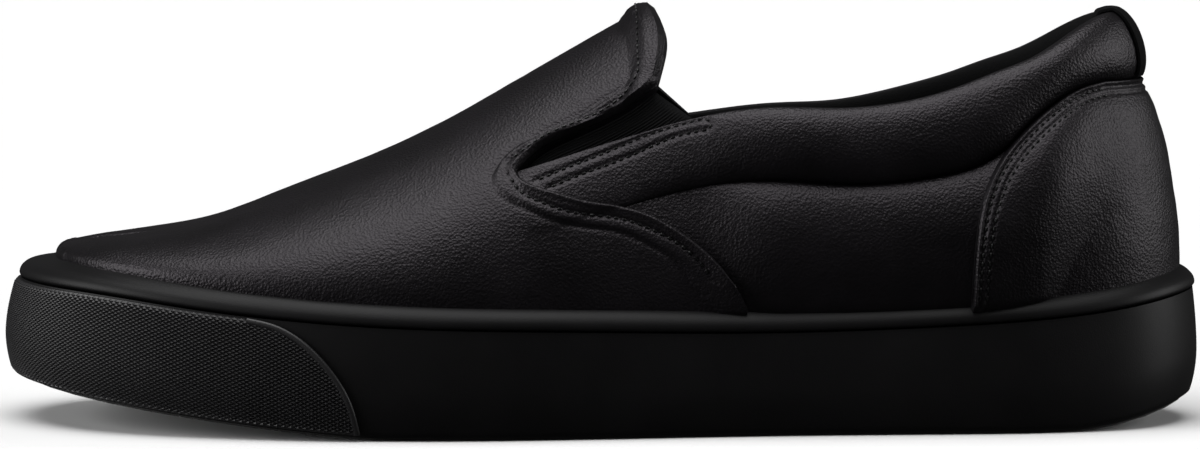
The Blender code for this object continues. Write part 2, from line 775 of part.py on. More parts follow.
def ribbon_loop(name, profile):
    """A closed ring swept round the foot. profile(angle) gives its cross-section's points."""
    side = column_angles()
    around = np.concatenate([-side[::-1], side[1:-1]])
    rings = [np.asarray(profile(angle)) for angle in around]
    count, size = len(rings), len(rings[0])
    faces = [
        (i * size + j, i * size + (j + 1) % size, (i + 1) % count * size + (j + 1) % size, (i + 1) % count * size + j)
        for i in range(count)
        for j in range(size)
    ]
    return make_object(name, np.concatenate(rings), faces)


def slab(name, rows):
    """A closed slab from one ladder of points per level: rows is a list of levels, each an array of rungs by points
    across. The first level is the underside and the last the top."""
    levels = [np.asarray(level, float) for level in rows]
    rungs, across = levels[0].shape[:2]
    points = np.concatenate([level.reshape(-1, 3) for level in levels])
    size = rungs * across

    def at(level, rung, place_across):
        return level * size + rung * across + place_across

    faces = []
    for level in (0, len(levels) - 1):
        for r in range(rungs - 1):
            for c in range(across - 1):
                faces.append((at(level, r, c), at(level, r, c + 1), at(level, r + 1, c + 1), at(level, r + 1, c)))
    rim = [(r, 0) for r in range(rungs)] + [(rungs - 1, c) for c in range(1, across)]
    rim += [(r, across - 1) for r in range(rungs - 2, -1, -1)] + [(0, c) for c in range(across - 2, 0, -1)]
    for level in range(len(levels) - 1):
        for i, (r, c) in enumerate(rim):
            r2, c2 = rim[(i + 1) % len(rim)]
            faces.append((at(level, r, c), at(level, r2, c2), at(level + 1, r2, c2), at(level + 1, r, c)))
    return make_object(name, points, faces)


def ladder(inset, height, across=2, cup=None):
    """Rungs from the outer to the inner side at every column but the very tips, as an array of points.
    inset and height are functions of the angle; cup lifts the points near the edges."""
    rungs = []
    for angle in column_angles()[1:-1]:
        outer = inset_outline(np.array(-angle), inset(-angle))
        inner = inset_outline(np.array(angle), inset(angle))
        share = np.linspace(0, 1, across)
        plan = outer + (inner - outer) * share[:, None]
        lift = cup(np.abs(2 * share - 1)) if cup else 0.0
        rungs.append(with_height(plan, height(angle) + lift))
    return np.array(rungs)


def foxing_profile(round_foot):
    """Cross-section of the rubber side: a step at its foot takes the outsole's edge."""
    low = float(ground(along_at(round_foot)))
    high = float(lip(round_foot))
    under_strip = high - STRIP_HEIGHT - GAP
    foot = low + OUTSOLE_STANDS_PROUD
    face = [foot + (under_strip - foot) * step for step in FOXING_STEPS]
    points = [sidewall_point(np.array(round_foot), (height - low) / (high - low)) for height in face]
    inner = float(ledge(round_foot)) - GAP
    toe_of_outsole = FOXING_SKIN - GAP
    shelf = low + OUTSOLE_THICKNESS + GAP
    for inset, height in ((inner, under_strip), (inner, shelf), (toe_of_outsole, shelf), (toe_of_outsole, face[0])):
        points.append(with_height(inset_outline(np.array(round_foot), inset), np.array(height)))
    return points


def strip_profile(round_foot):
    """Cross-section of the raised strip that finishes the sole's side, rounded over its top."""
    low, high = float(ground(along_at(round_foot))), float(lip(round_foot))
    foot = high - STRIP_HEIGHT
    angle = np.array(round_foot)
    inner = float(ledge(round_foot)) - GAP
    face = float(sidewall_inset(angle, (foot - low) / (high - low))) - STRIP_STANDS_PROUD
    cap = min(STRIP_HEIGHT * STRIP_CAP_REACH, (inner - face) * STRIP_CAP_MOST)
    points = []
    for turn in (0.0, 0.25, 0.5, 0.75, 1.0):
        bend = turn * math.pi / 2
        drop = STRIP_HEIGHT * STRIP_CAP_RISE * (1 - math.sin(bend))
        points.append((face + cap * (1 - math.cos(bend)), high - drop))
    points = [(face, foot)] + points + [(inner, high), (inner, foot)]
    points = [
        (inset, foot + (height - foot) * (1 - STRIP_SLOPE * (inner - inset) / STRIP_HEIGHT)) for inset, height in points
    ]
    return [with_height(inset_outline(angle, inset), np.array(height)) for inset, height in points]


def edge_curve(rows, count):
    """Places along a table's edge, evenly spaced by its length, as shares along the foot and heights."""
    along = np.array([row.along for row in rows])
    height = np.array([row.height for row in rows])
    scale = SOLE_LENGTH / COLLAR_HEIGHT
    length = np.concatenate([[0], np.cumsum(np.hypot(np.diff(along) * scale, np.diff(height)))])
    at = np.linspace(0, length[-1], count)
    return spline(length, along)(at), spline(length, height)(at)


def bumper():
    """The toe bumper: a second skin over the foxing, its back edge curving down to the ground on both sides."""
    rows = BUMPER_STEPS
    back_along, back_top = edge_curve(BUMPER_EDGE, 9)
    front = [a for a in toe_angles() if along_at(a) < BUMPER_EDGE[0].along - BUMPER_COLUMN_GAP]
    columns = [(a, top_share(a)) for a in front] + list(zip(angle_at(back_along), back_top, strict=True))
    columns = [(-a, top) for a, top in columns[:0:-1]] + columns
    points, count = [], len(columns)
    for out in (GAP, GAP + BUMPER_THICKNESS):
        for angle, top in columns:
            for row in rows:
                share = BUMPER_LOW_EDGE + (top - BUMPER_LOW_EDGE) * row
                points.append(sidewall_point(np.array(angle), share, out))
    size = len(rows)
    half = count * size
    faces = []
    for i in range(count - 1):
        for j in range(size - 1):
            a, b = i * size + j, (i + 1) * size + j
            faces.append((a, b, b + 1, a + 1))
            faces.append((half + a, half + a + 1, half + b + 1, half + b))
        for j in (0, size - 1):
            a, b = i * size + j, (i + 1) * size + j
            faces.append((a, b, half + b, half + a))
    for i in (0, count - 1):
        for j in range(size - 1):
            a = i * size + j
            faces.append((a, a + 1, half + a + 1, half + a))
    return make_object("toe_bumper", points, faces)


def top_share(round_foot):
    """Share of the sidewall's height at which the strip begins."""
    low = ground(along_at(round_foot))
    return float((lip(round_foot) - STRIP_HEIGHT - 2 * GAP - low) / (lip(round_foot) - low))


def prism(name, corners):
    """A cutter: a side view outline of stations and heights, carried right across the foot."""
    reach = BALL_WIDTH
    points = [(x, y, z) for y in (-reach, reach) for x, z in corners]
    count = len(corners)
    faces = [tuple(range(count)), tuple(range(count, 2 * count))]
    faces += [(i, (i + 1) % count, (i + 1) % count + count, i + count) for i in range(count)]
    made = make_object(name, points, faces)
    made.hide_render = True
    made.display_type = "WIRE"
    return made


def cut(target, cutter, operation):
    modifier = target.modifiers.new(operation.title() + " " + cutter.name, "BOOLEAN")
    modifier.operation = operation
    modifier.object = cutter
    modifier.solver = "EXACT"


def above_lip(grid, first, last):
    """The grid's faces above the sole's edge between two shares of the sole's length."""
    points = np.array(grid.points)
    along = points[:, 0] / SOLE_LENGTH
    skirt = {corner for key, corner in grid.keys.items() if "skirt" in key}
    return [f for f in grid.faces if not skirt & set(f) and all(first <= along[c] <= last for c in f)]


def overlay(name, grid, first, last, thickness, corners, keep):
    """An overlay cut from the upper's own surface. corners outline its stock from the side."""
    made = shell(name, grid, above_lip(grid, first, last), GAP + thickness, thickness)
    cut(made, prism(name + " edge", corners), keep)
    return made


def vamp(grid):
    """The smooth front layer, which lies over the quarters as far as the wings' rear edges."""
    along, height = edge_curve(WING_EDGE, 15)
    wing = list(zip(along * SOLE_LENGTH, height * COLLAR_HEIGHT, strict=True))
    open_along = np.linspace(NOTCH_POINT, float(tab_end_along(0.0)), 6)
    tab, rim = tab_edge_height(open_along), rim_height(angle_at(open_along))
    notch = list(zip(open_along * SOLE_LENGTH + NOTCH_CUT_STARTS, (tab + rim) / 2, strict=True))
    behind, above = SOLE_LENGTH * VAMP_STOCK_END + CUT_MARGIN, INSTEP_HEIGHT * ridge_share(1.0) + CUT_MARGIN
    corners = wing + [(wing[-1][0] + WING_CUT_RUNS_BACK, CUT_MARGIN), (behind, CUT_MARGIN), (behind, above)]
    return overlay("vamp", grid, 0.0, VAMP_STOCK_END, VAMP_THICKNESS, corners + notch[::-1], "DIFFERENCE")


def heel_counter(grid):
    """The overlay round the back of the heel."""
    along, height = edge_curve(COUNTER_EDGE, 15)
    edge = list(zip(along * SOLE_LENGTH, height * COLLAR_HEIGHT, strict=True))
    behind = SOLE_LENGTH + CUT_MARGIN
    corners = [(edge[0][0], CUT_MARGIN)] + edge + [(behind, edge[-1][1]), (behind, CUT_MARGIN)]
    return overlay("heel_counter", grid, COUNTER_STOCK_START, 1.0, COUNTER_THICKNESS, corners, "INTERSECT")


def gore(name, side):
    """The elastic in a notch: it is tucked under the tab's edge above and behind the quarter's edge below."""
    start, tab_end = NOTCH_POINT + GORE_START, float(tab_end_along(0.0)) - GAP / SOLE_LENGTH
    angle = side * angle_at(np.linspace(start, GORE_END, 9))
    tab_along = np.linspace(start, tab_end, 9)
    tab_angle = angle_at(tab_along)
    edge = climb_at_height(vamp_form, tab_angle, tab_edge_height(tab_along))
    inside_tab = -WALL - GAP
    tucked, at_edge = (
        vamp_form(side * tab_angle, edge + more)
        + sheet_normal(vamp_form, side * tab_angle, edge + more) * inside_tab
        for more in (GORE_TUCK / INSTEP_HEIGHT, 0.0)
    )
    lower = []
    for below in GORE_TUCK_STEPS:
        crease = climb_at_height(quarter_form, angle, crease_height(angle))
        climb = 1 - (1 - crease) * below
        inner = np.array([float(pad_offsets(a, below)[1]) for a in angle]) - GAP
        normal = sheet_normal(quarter_form, angle, climb)
        lower.append(quarter_form(angle, climb) + normal * inner[:, None])
    middle = (at_edge + lower[0]) / 2
    rows = np.array([tucked, at_edge, middle] + lower)
    across = np.gradient(rows, axis=0)
    back = np.gradient(rows, axis=1)
    normal = np.cross(back, across)
    normal /= np.linalg.norm(normal, axis=-1, keepdims=True) * np.sign(normal[..., 1:2] * side)
    outside, inside = rows.reshape(-1, 3), (rows - normal * GORE_THICKNESS).reshape(-1, 3)
    return close_wall(name, outside, inside, lattice_faces(*rows.shape[:2]))


def back_strip():
    """The narrow strip that runs from the counter's top up the back of the collar and over its rim."""
    side = strip_edge_angle()
    angle = np.array([side, math.pi, TWO_PI - side])
    crease = climb_at_height(quarter_form, angle, crease_height(angle))
    path = []
    for below, inside, lift in BACK_STRIP_PATH:
        climb = 1 - (1 - crease) * below
        offset = np.array([float(pad_offsets(a, below)[int(inside)]) for a in angle])
        offset += -GAP if inside else GAP
        normal = sheet_normal(quarter_form, angle, climb)
        path.append(quarter_form(angle, climb) + normal * offset[:, None] + UP * GAP * lift)
    path = np.array(path)
    normal = np.cross(np.gradient(path, axis=1), np.gradient(path, axis=0))
    normal /= np.linalg.norm(normal, axis=-1, keepdims=True)
    if normal[0, 2, 0] < 0:
        normal = -normal
    outside = path + normal * BACK_STRIP_THICKNESS
    return close_wall("back_strip", outside.reshape(-1, 3), path.reshape(-1, 3), lattice_faces(*path.shape[:2]))


def insole():
    """The footbed, cupped a little at its edges."""

    def inset(angle):
        return ledge(angle) + WALL + GAP

    def level(cup):
        return ladder(inset, lambda angle: footbed(along_at(angle)) + GAP, 6, cup)

    return slab("insole", [level(lambda out: 0 * out), level(lambda out: INSOLE_THICKNESS + INSOLE_CUP * out**4)])


def midsole():
    """The filler between outsole and footbed."""
    top_of_outsole = OUTSOLE_THICKNESS + GAP
    low = ladder(ledge, lambda angle: ground(along_at(angle)) + top_of_outsole)
    return slab("midsole", [low, ladder(ledge, lambda angle: footbed(along_at(angle)))])


def outsole():
    """The tread: a slab that follows the ground line, with wavy grooves that stop short of its edge."""

    def level(rise):
        return ladder(lambda angle: FOXING_SKIN, lambda angle: ground(along_at(angle)) + rise)

    made = slab("outsole", [level(0.0), level(OUTSOLE_THICKNESS)])
    count = int(SOLE_LENGTH * TREAD_SHARE / GROOVE_PITCH)
    for n in range(count):
        along = (n - (count - 1) / 2) * GROOVE_PITCH / SOLE_LENGTH + 0.5
        groove(made, n, along)
    return made


def groove(target, number, along):
    """Cuts one wavy groove across the tread."""
    angle = angle_at(along)
    outer = inset_outline(np.array(-angle), FOXING_SKIN + GROOVE_MARGIN)
    inner = inset_outline(np.array(angle), FOXING_SKIN + GROOVE_MARGIN)
    share = np.linspace(0, 1, 2 * GROOVE_WAVES_ACROSS + 1)
    middle = (outer + (inner - outer) * share[:, None])[:, :2]
    wave = GROOVE_WAVE / 2 * (1 - 2 * (np.arange(len(share)) % 2))
    points = []
    for rise in (-GROOVE_DEPTH, GROOVE_DEPTH):
        for half in (-GROOVE_WIDTH / 2, GROOVE_WIDTH / 2):
            x = middle[:, 0] + wave + half
            points.append(stack(x, middle[:, 1], ground(x / SOLE_LENGTH) + rise))
    size = len(share)
    rings = np.stack([points[0], points[1], points[3], points[2]], axis=1).reshape(-1, 3)
    faces = [(0, 1, 2, 3), tuple(4 * (size - 1) + i for i in range(4))]
    for i in range(size - 1):
        faces += [(4 * i + j, 4 * i + (j + 1) % 4, 4 * i + 4 + (j + 1) % 4, 4 * i + 4 + j) for j in range(4)]
    cutter = make_object(f"groove {number}", rings, faces)
    cutter.hide_render = True
    cutter.display_type = "WIRE"
    cut(target, cutter, "DIFFERENCE")


def finish(pieces):
    for piece in pieces:
        colour, roughness = FINISHES[piece.name]
        material = bpy.data.materials.new(piece.name)
        material.use_nodes = True
        shader = material.node_tree.nodes["Principled BSDF"]
        shader.inputs["Base Color"].default_value = (*colour, 1)
        shader.inputs["Roughness"].default_value = roughness
        shader.inputs["Metallic"].default_value = 0
        piece.data.materials.append(material)


def build_pieces():
    grid = upper_grid()
    return [
        shell("upper", grid, grid.faces),
        vamp(grid),
        heel_counter(grid),
        gore("gore_lateral", -1),
        gore("gore_medial", 1),
        back_strip(),
        insole(),
        midsole(),
        outsole(),
        ribbon_loop("foxing", foxing_profile),
        ribbon_loop("foxing_strip", strip_profile),
        bumper(),
    ]


def clear_scene():
    for old in list(bpy.data.objects):
        bpy.data.objects.remove(old)


def main():
    clear_scene()
    finish(build_pieces())


main()
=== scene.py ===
import math
from collections import Counter, namedtuple

import bmesh
import bpy
import numpy as np
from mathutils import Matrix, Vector, noise
from mathutils.kdtree import KDTree


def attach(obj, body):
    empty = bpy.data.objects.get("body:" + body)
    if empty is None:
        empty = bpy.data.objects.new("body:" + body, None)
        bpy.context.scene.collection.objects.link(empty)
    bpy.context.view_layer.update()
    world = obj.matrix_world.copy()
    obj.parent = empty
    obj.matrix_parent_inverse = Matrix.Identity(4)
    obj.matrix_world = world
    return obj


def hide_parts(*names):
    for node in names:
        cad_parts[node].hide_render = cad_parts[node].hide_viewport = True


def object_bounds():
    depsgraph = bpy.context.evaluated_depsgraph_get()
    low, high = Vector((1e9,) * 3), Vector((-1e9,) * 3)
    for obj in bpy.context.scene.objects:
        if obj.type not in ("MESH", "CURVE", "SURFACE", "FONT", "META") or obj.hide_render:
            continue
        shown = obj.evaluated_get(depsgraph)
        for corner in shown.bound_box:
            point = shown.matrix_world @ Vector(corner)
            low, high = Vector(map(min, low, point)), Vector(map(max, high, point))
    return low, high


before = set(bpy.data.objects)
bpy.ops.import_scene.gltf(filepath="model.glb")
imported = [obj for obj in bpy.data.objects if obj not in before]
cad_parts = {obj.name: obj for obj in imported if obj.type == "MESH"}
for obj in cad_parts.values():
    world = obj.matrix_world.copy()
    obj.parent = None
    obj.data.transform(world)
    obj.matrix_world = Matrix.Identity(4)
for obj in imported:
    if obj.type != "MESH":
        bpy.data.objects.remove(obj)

# A left slip-on sneaker. Metres, +Z up, toe along -X, outer side -Y. The sizes and forms down to the
# centre of the sole are the part's own, so that each piece lies on the solids that it stands for.

# Overall sizes of the sole
SOLE_LENGTH = 0.2687
BALL_WIDTH = 0.0994
SIDEWALL_HEIGHT = 0.0280
SIDEWALL_BOTTOM_INSET = 0.0018
SIDEWALL_TOP_INSET = 0.0018
WIDEST_SHARE = 0.35
SIDEWALL_LEAN_CURVE = 1.7
TOE_SPRING = 0.0098
TOE_SPRING_LENGTH = 0.0890
TOE_SPRING_CURVE = 1.35
HEEL_BEVEL = 0.0055
HEEL_BEVEL_LENGTH = 0.0300
HEEL_BEVEL_CURVE = 1.6
OUTSOLE_THICKNESS = 0.0042
OUTSOLE_STANDS_PROUD = 0.0005
FOXING_SKIN = 0.0030
FOREFOOT_STACK = 0.0120
HEEL_STACK = 0.0170
HEEL_RAMP_START = 0.30
HEEL_RAMP_END = 0.80
STRIP_HEIGHT = 0.0048
STRIP_STANDS_PROUD = 0.0005
STRIP_SLOPE = 0.28
STRIP_CAP_REACH = 0.85
STRIP_CAP_MOST = 0.75
STRIP_CAP_RISE = 0.80
BUMPER_THICKNESS = 0.0010
INSOLE_THICKNESS = 0.0040
INSOLE_CUP = 0.0025

# Overall sizes of the upper
LEDGE = 0.0050
INSTEP_HEIGHT = 0.0930
COLLAR_HEIGHT = 0.0724
COLLAR_WIDTH = 0.0560
COLLAR_SETBACK = 0.0192
WALL = 0.0018
VAMP_THICKNESS = 0.0011
COUNTER_THICKNESS = 0.0014
PAD_BULGE_OUT = 0.0038
PAD_BULGE_IN = 0.0026
RIM_THICKNESS = 0.0014
GORE_THICKNESS = 0.0012
GORE_TUCK = 0.0050
BACK_STRIP_WIDTH = 0.0110
BACK_STRIP_THICKNESS = 0.0010
TAB_ROLL = 0.0012
TAB_ROLL_WIDTH = 0.0070

# Fits
GAP = 0.0003

# Where things lie along the foot, as shares of the sole's length
SPINE_START = 0.127
SPINE_GATHER = 0.300
NOTCH_POINT = 0.431
GORE_START = 0.005
GORE_END = 0.5745
SHEETS_PART = 0.620
COLLAR_LEAN_START = 0.558
COLLAR_LEAN_POWER = 1.6
BUMPER_LOW_EDGE = 0.035

Outline = namedtuple("Outline", "along half_width bend")
Edge = namedtuple("Edge", "along height")
Ledge = namedtuple("Ledge", "along ledge top_inset")
Rim = namedtuple("Rim", "along half_width height inner_drop")
Section = namedtuple("Section", "along rise flare reach top_flare drop")
TabEnd = namedtuple("TabEnd", "across along")
Pad = namedtuple("Pad", "along height fullness")


def rows_of(kind, *rows):
    return tuple(kind(*row) for row in rows)


# Plan of the sidewall. Widths and the centre line's bend towards the inner side are shares of half the
# ball width.
OUTLINE = rows_of(
    Outline,
    (0.000, 0.000, 0.100), (0.015, 0.345, 0.092), (0.050, 0.600, 0.080), (0.100, 0.778, 0.058),
    (0.170, 0.906, 0.028), (0.250, 0.980, 0.000), (0.330, 1.000, -0.022), (0.420, 0.960, -0.044),
    (0.500, 0.884, -0.060), (0.580, 0.802, -0.068), (0.670, 0.752, -0.052), (0.760, 0.741, -0.026),
    (0.840, 0.722, -0.008), (0.900, 0.655, 0.000), (0.950, 0.520, 0.000), (0.985, 0.300, 0.000),
    (1.000, 0.000, 0.000),
)

# Top edge of the sole's side, as a share of the sidewall's height at the arch.
SIDEWALL_TOP = rows_of(
    Edge,
    (0.000, 1.318), (0.040, 1.300), (0.105, 1.255), (0.160, 1.195), (0.245, 1.118), (0.330, 1.068),
    (0.500, 1.024), (0.620, 1.000), (0.750, 1.025), (0.830, 1.062), (0.915, 1.130), (0.970, 1.205),
    (1.000, 1.255),
)

# How far the upper stands in from the sole's widest line, and the sidewall's lean at its top, as shares
# of the ledge and of the sidewall's top inset along the sides.
LEDGES = rows_of(
    Ledge,
    (0.000, 2.42, 2.40), (0.050, 1.90, 2.05), (0.150, 1.25, 1.40), (0.300, 1.04, 1.05), (0.600, 1.00, 1.00),
    (0.850, 1.04, 1.00), (1.000, 1.14, 1.00),
)

# Ridge of the vamp on the foot's centre line, as a share of the instep's height. Its last rows are cut
# away.
RIDGE = rows_of(
    Edge,
    (0.127, 0.4420), (0.179, 0.4800), (0.231, 0.5387), (0.298, 0.6150), (0.365, 0.7032), (0.432, 0.8129),
    (0.499, 0.9237), (0.543, 0.9950), (0.595, 1.0560), (0.651, 1.0850),
)

# Rim of the collar, seen from above as shares of half its width, its height as a share of the collar's
# height at the ankle, and how much lower it lies on the inner side. Its first rows are the lower edge
# of the gore's notch.
RIM = rows_of(
    Rim,
    (0.431, 0.800, 0.8010, 0.000), (0.510, 0.880, 0.8920, 0.012), (0.5855, 0.950, 0.9696, 0.032),
    (0.651, 1.000, 0.9970, 0.034), (0.707, 1.000, 0.9935, 0.022), (0.752, 0.986, 1.0040, 0.008),
    (0.789, 0.964, 1.0249, 0.000), (0.826, 0.929, 1.0580, 0.000), (0.863, 0.868, 1.0994, 0.000),
    (0.9006, 0.779, 1.1395, 0.000), (0.938, 0.630, 1.1980, 0.000), (0.9676, 0.440, 1.2450, 0.000),
    (1.000, 0.000, 1.2720, 0.000),
)

# Upper edge of the notch: the vamp's tab over the gore, as a share of the way from the notch's lower
# edge to the ridge.
TAB_EDGE = rows_of(
    Edge,
    (0.431, 0.0010), (0.440, 0.1045), (0.466, 0.2055), (0.507, 0.2310), (0.528, 0.2725), (0.540, 0.3210),
    (0.556, 0.4150),
)

# End of the tab from its edge over the gore, 0, to the ridge, 1.
TAB_END = rows_of(
    TabEnd,
    (0.00, 0.5455), (0.25, 0.5520), (0.50, 0.5505), (0.75, 0.5455), (1.00, 0.5435),
)

# Lower edge of the vamp's wing, from the point of the notch down to the sole, as a share of the
# collar's height.
WING_EDGE = rows_of(
    Edge,
    (0.4230, 0.8120), (0.4400, 0.7650), (0.4620, 0.7380), (0.4860, 0.7130), (0.5130, 0.6980),
    (0.5360, 0.6770), (0.5560, 0.6420), (0.5770, 0.5910), (0.5960, 0.5270), (0.6090, 0.4630),
    (0.6190, 0.3970),
)

# Front and top edge of the heel counter, from the sole to the back of the heel, as a share of the
# collar's height.
COUNTER_EDGE = rows_of(
    Edge,
    (0.8020, 0.3900), (0.8030, 0.4700), (0.8060, 0.5450), (0.8150, 0.6560), (0.8400, 0.8000),
    (0.8690, 0.8960), (0.9120, 0.9970), (0.9400, 1.0430), (0.9620, 1.0600),
)

# The padded collar: how far it reaches down from the rim, as a share of the collar's height, and how
# full it is.
PAD = rows_of(
    Pad,
    (0.431, 0.200, 0.00), (0.510, 0.205, 0.30), (0.5855, 0.210, 0.65), (0.651, 0.222, 0.95),
    (0.707, 0.230, 1.00), (0.789, 0.240, 1.00), (0.837, 0.240, 1.00), (0.863, 0.222, 1.00),
    (0.9006, 0.205, 1.00), (0.938, 0.205, 1.00), (1.000, 0.216, 1.00),
)

# Shape of each rising curve: its lower handle's rise as a share of its height, the flare of that handle
# as a share of the ledge, the upper handle's reach over the vamp as a share of its span, and behind the
# throat the upper handle's flare and drop as shares of the ledge and of the height.
SECTIONS = rows_of(
    Section,
    (0.000, 0.60, 0.04, 0.50, 0.30, 0.30), (0.100, 0.58, 0.08, 0.50, 0.30, 0.30),
    (0.220, 0.52, 0.12, 0.53, 0.30, 0.30), (0.340, 0.50, 0.14, 0.54, 0.30, 0.30),
    (0.480, 0.49, 0.06, 0.50, 0.40, 0.30), (0.600, 0.43, 0.30, 0.50, 0.50, 0.30),
    (0.707, 0.40, 0.50, 0.50, 0.50, 0.30), (0.863, 0.40, 0.40, 0.50, 0.65, 0.30),
    (1.000, 0.42, 0.06, 0.50, 0.80, 0.30),
)

# Back edge of the toe bumper: its height as a share of the sidewall's height there.
BUMPER_EDGE = rows_of(
    Edge,
    (0.2100, 0.800), (0.2300, 0.780), (0.2480, 0.720), (0.2640, 0.620), (0.2790, 0.480), (0.2920, 0.300),
    (0.3000, 0.040),
)

# The back strip's path: how far below the rim, whether on the collar's inner side, and the lift over
# the rim.
BACK_STRIP_PATH = (
    (0.95, False, 0), (0.80, False, 0), (0.55, False, 0), (0.30, False, 0),
    (0.12, False, 0), (0.03, False, 0.4), (0.00, False, 1), (0.00, True, 1),
    (0.03, True, 0.4), (0.12, True, 0), (0.30, True, 0), (0.60, True, 0),
)

MM = 0.001

# Looks of the leather's edges and seams
EDGE_RADIUS = 0.0008
EDGE_BEAD = 0.00035
EDGE_BEAD_AT = 0.0009
EDGE_BEAD_WIDTH = 0.0007
BAND_RISE = 0.00040
BAND_SLOPE = 0.0009
QUARTER_BULGE = 0.0042
QUARTER_BULGE_REACH = 2.2
FOXING_TURN = 0.0010
KNURL_LENGTH = 0.0016
KNURL_HEIGHT = 0.00085
KNURL_RISE = 0.00050
BUMPER_RIM = 0.0015
GORE_RIB_PITCH = 0.00070
GORE_RIB = 0.00018
GORE_HEM = 0.0020
GRAIN_DEPTH = 0.00011
LEATHER_COLOUR = (0.0010, 0.0009, 0.0011)
LEATHER_WORN = (0.0020, 0.0017, 0.0022)
LEATHER_SPECULAR = 0.19
SPECULAR_TINT = (1.0, 0.92, 1.0)
STRIP_THINNED = 0.6
STITCH_PITCH = 0.0018
STITCH_LENGTH = 0.0013
STITCH_RADIUS = 0.00026
STITCH_SINK = 0.00030
STRIP_TURN = 0.2
STRIP_SLOPE_REACH = 0.8
QUARTER_BULGE_CURVE = 0.7
QUARTER_BULGE_START, QUARTER_BULGE_GROWS = 0.56, 0.10
QUARTER_BULGE_END, QUARTER_BULGE_FADES = 0.86, 0.12
NOTCH_LEAD = 0.1
TAB_SINK = 0.2 * MM
TAB_TRIM_SLOPE = 0.3
WING_CLEARANCE = 0.1 * MM
COUNTER_CLEARANCE = 0.2 * MM
WING_LEAD = Edge(0.003, 0.782)
FREE_EDGE_SHARE = 1.15
COUNTER_FREE_SHARE = 0.99
BAND_WIDTH = 7 * MM
COUNTER_BEAD_SHARE = 0.6
INSOLE_HOLLOW = 0.5 * MM
BUMPER_RIM_SINK = 0.35
BEAD_FLATNESS = 0.75
WELD_FINENESS = 2e5

# The elastic's rows across: where they lie on it, how far the lower ones are tucked in, and its span
GORE_ROWS = (0, 0.12, 0.60, 0.72, 1.0)
GORE_LOW_TUCKS = (0.0, 0.10, 0.24)
GORE_SPAN = 0.14

# Noise of the materials, as lumps to a metre
LEATHER_BLOTCHES = 60.0
RUBBER_TOOTH = 3200.0
RUBBER_DUST = 45.0
THREAD_TWIST = 2500.0

# Unevenness of the leather, as height, size and seed
VAMP_UNEVEN = ((0.10 * MM, 14 * MM, 1), (0.05 * MM, 5 * MM, 2))
WALL_UNEVEN = ((0.12 * MM, 13 * MM, 3), (0.05 * MM, 4 * MM, 4))
COUNTER_UNEVEN = ((0.12 * MM, 12 * MM, 5), (0.07 * MM, 4 * MM, 6))

# Seams, as places from the toe and heights in millimetres, with the width and depth of what they press in
Seam = namedtuple("Seam", "sheet places width depth stitched")
VAMP_ROW = (
    (143.0, 93.5), (143.0, 88.0), (142.6, 82.0), (142.6, 78.6), (140.6, 75.4), (136.8, 72.0), (132.6, 69.4),
    (126.3, 66.9), (121.2, 64.5), (116.5, 61.4), (113.2, 59.2),
)
VAMP_FOLD = (
    (140.6, 93.0), (141.1, 78.4), (138.7, 75.2), (135.0, 72.8), (130.0, 69.7), (125.9, 67.8), (120.7, 65.2),
    (115.3, 62.4), (111.9, 59.4), (110.2, 56.7),
)
WING_FOLD = (
    (110.2, 56.7), (110.4, 54.3), (112.4, 52.2), (116.9, 50.0), (121.8, 47.9), (128.0, 46.3), (134.7, 45.4),
    (140.5, 43.9), (145.2, 41.7), (149.6, 39.0), (152.6, 35.5),
)
WING_ROW = (
    (114.0, 56.6), (116.0, 53.6), (120.5, 51.2), (126.0, 49.3), (132.2, 48.4), (137.4, 47.7), (142.0, 46.5),
    (146.3, 44.7), (151.0, 42.2), (155.0, 38.8), (158.4, 34.4),
)
STRIP_ROWS = (
    (119.4, 56.2), (126.5, 59.0), (134.8, 62.0), (142.9, 65.3), (149.3, 67.5), (155.0, 69.0), (157.8, 68.9),
    (158.2, 67.5), (156.2, 66.6), (149.3, 64.9), (142.9, 62.2), (136.4, 59.7), (128.9, 57.2), (122.2, 54.6),
)
VAMP_SEAMS = (
    Seam("vamp", VAMP_ROW, 0.00055, 0.00055, True),
    Seam("vamp", VAMP_FOLD, 0.00060, 0.00025, False),
    Seam("quarter", WING_FOLD, 0.00060, 0.00025, False),
    Seam("quarter", WING_ROW, 0.00050, 0.00040, True),
)
WALL_SEAMS = (Seam("quarter", STRIP_ROWS, 0.00050, 0.00045, True),)
COUNTER_ROWS = ((0.0016, 0.00045, 0.00035), (0.0032, 0.00045, 0.00035))
COUNTER_SWELL = 0.0006
COUNTER_SWELL_REACH = 0.008

# Studio
FLOOR_REACH = 30.0
WORLD_STRENGTH = 0.05
FLOOR_COLOUR = (0.55, 0.55, 0.55)
SOFTBOXES = (
    ("overhead", (-0.08, -0.10, 1.00), 55, 4.2),
    ("toe side", (-1.00, -0.25, 0.32), 40, 3.6),
    ("heel side", (1.00, 0.05, 0.30), 40, 2.0),
)
SENSOR = 36.0
CAMERA_PLACE = (0.0, -1.3, 0.150)
CAMERA_AIM_HEIGHT = 0.0437
CAMERA_DISTANCE = 1.3064
FRAME_WIDTH = 0.2716


TWO_PI = 2 * math.pi
UP = np.array([0.0, 0.0, 1.0])


def angle_at(along):
    """The angle round the foot, on the inner side, of a share of the sole's length."""
    return np.arccos(np.clip(1 - 2 * np.asarray(along, float), -1, 1))


def along_at(round_foot):
    return (1 - np.cos(round_foot)) / 2


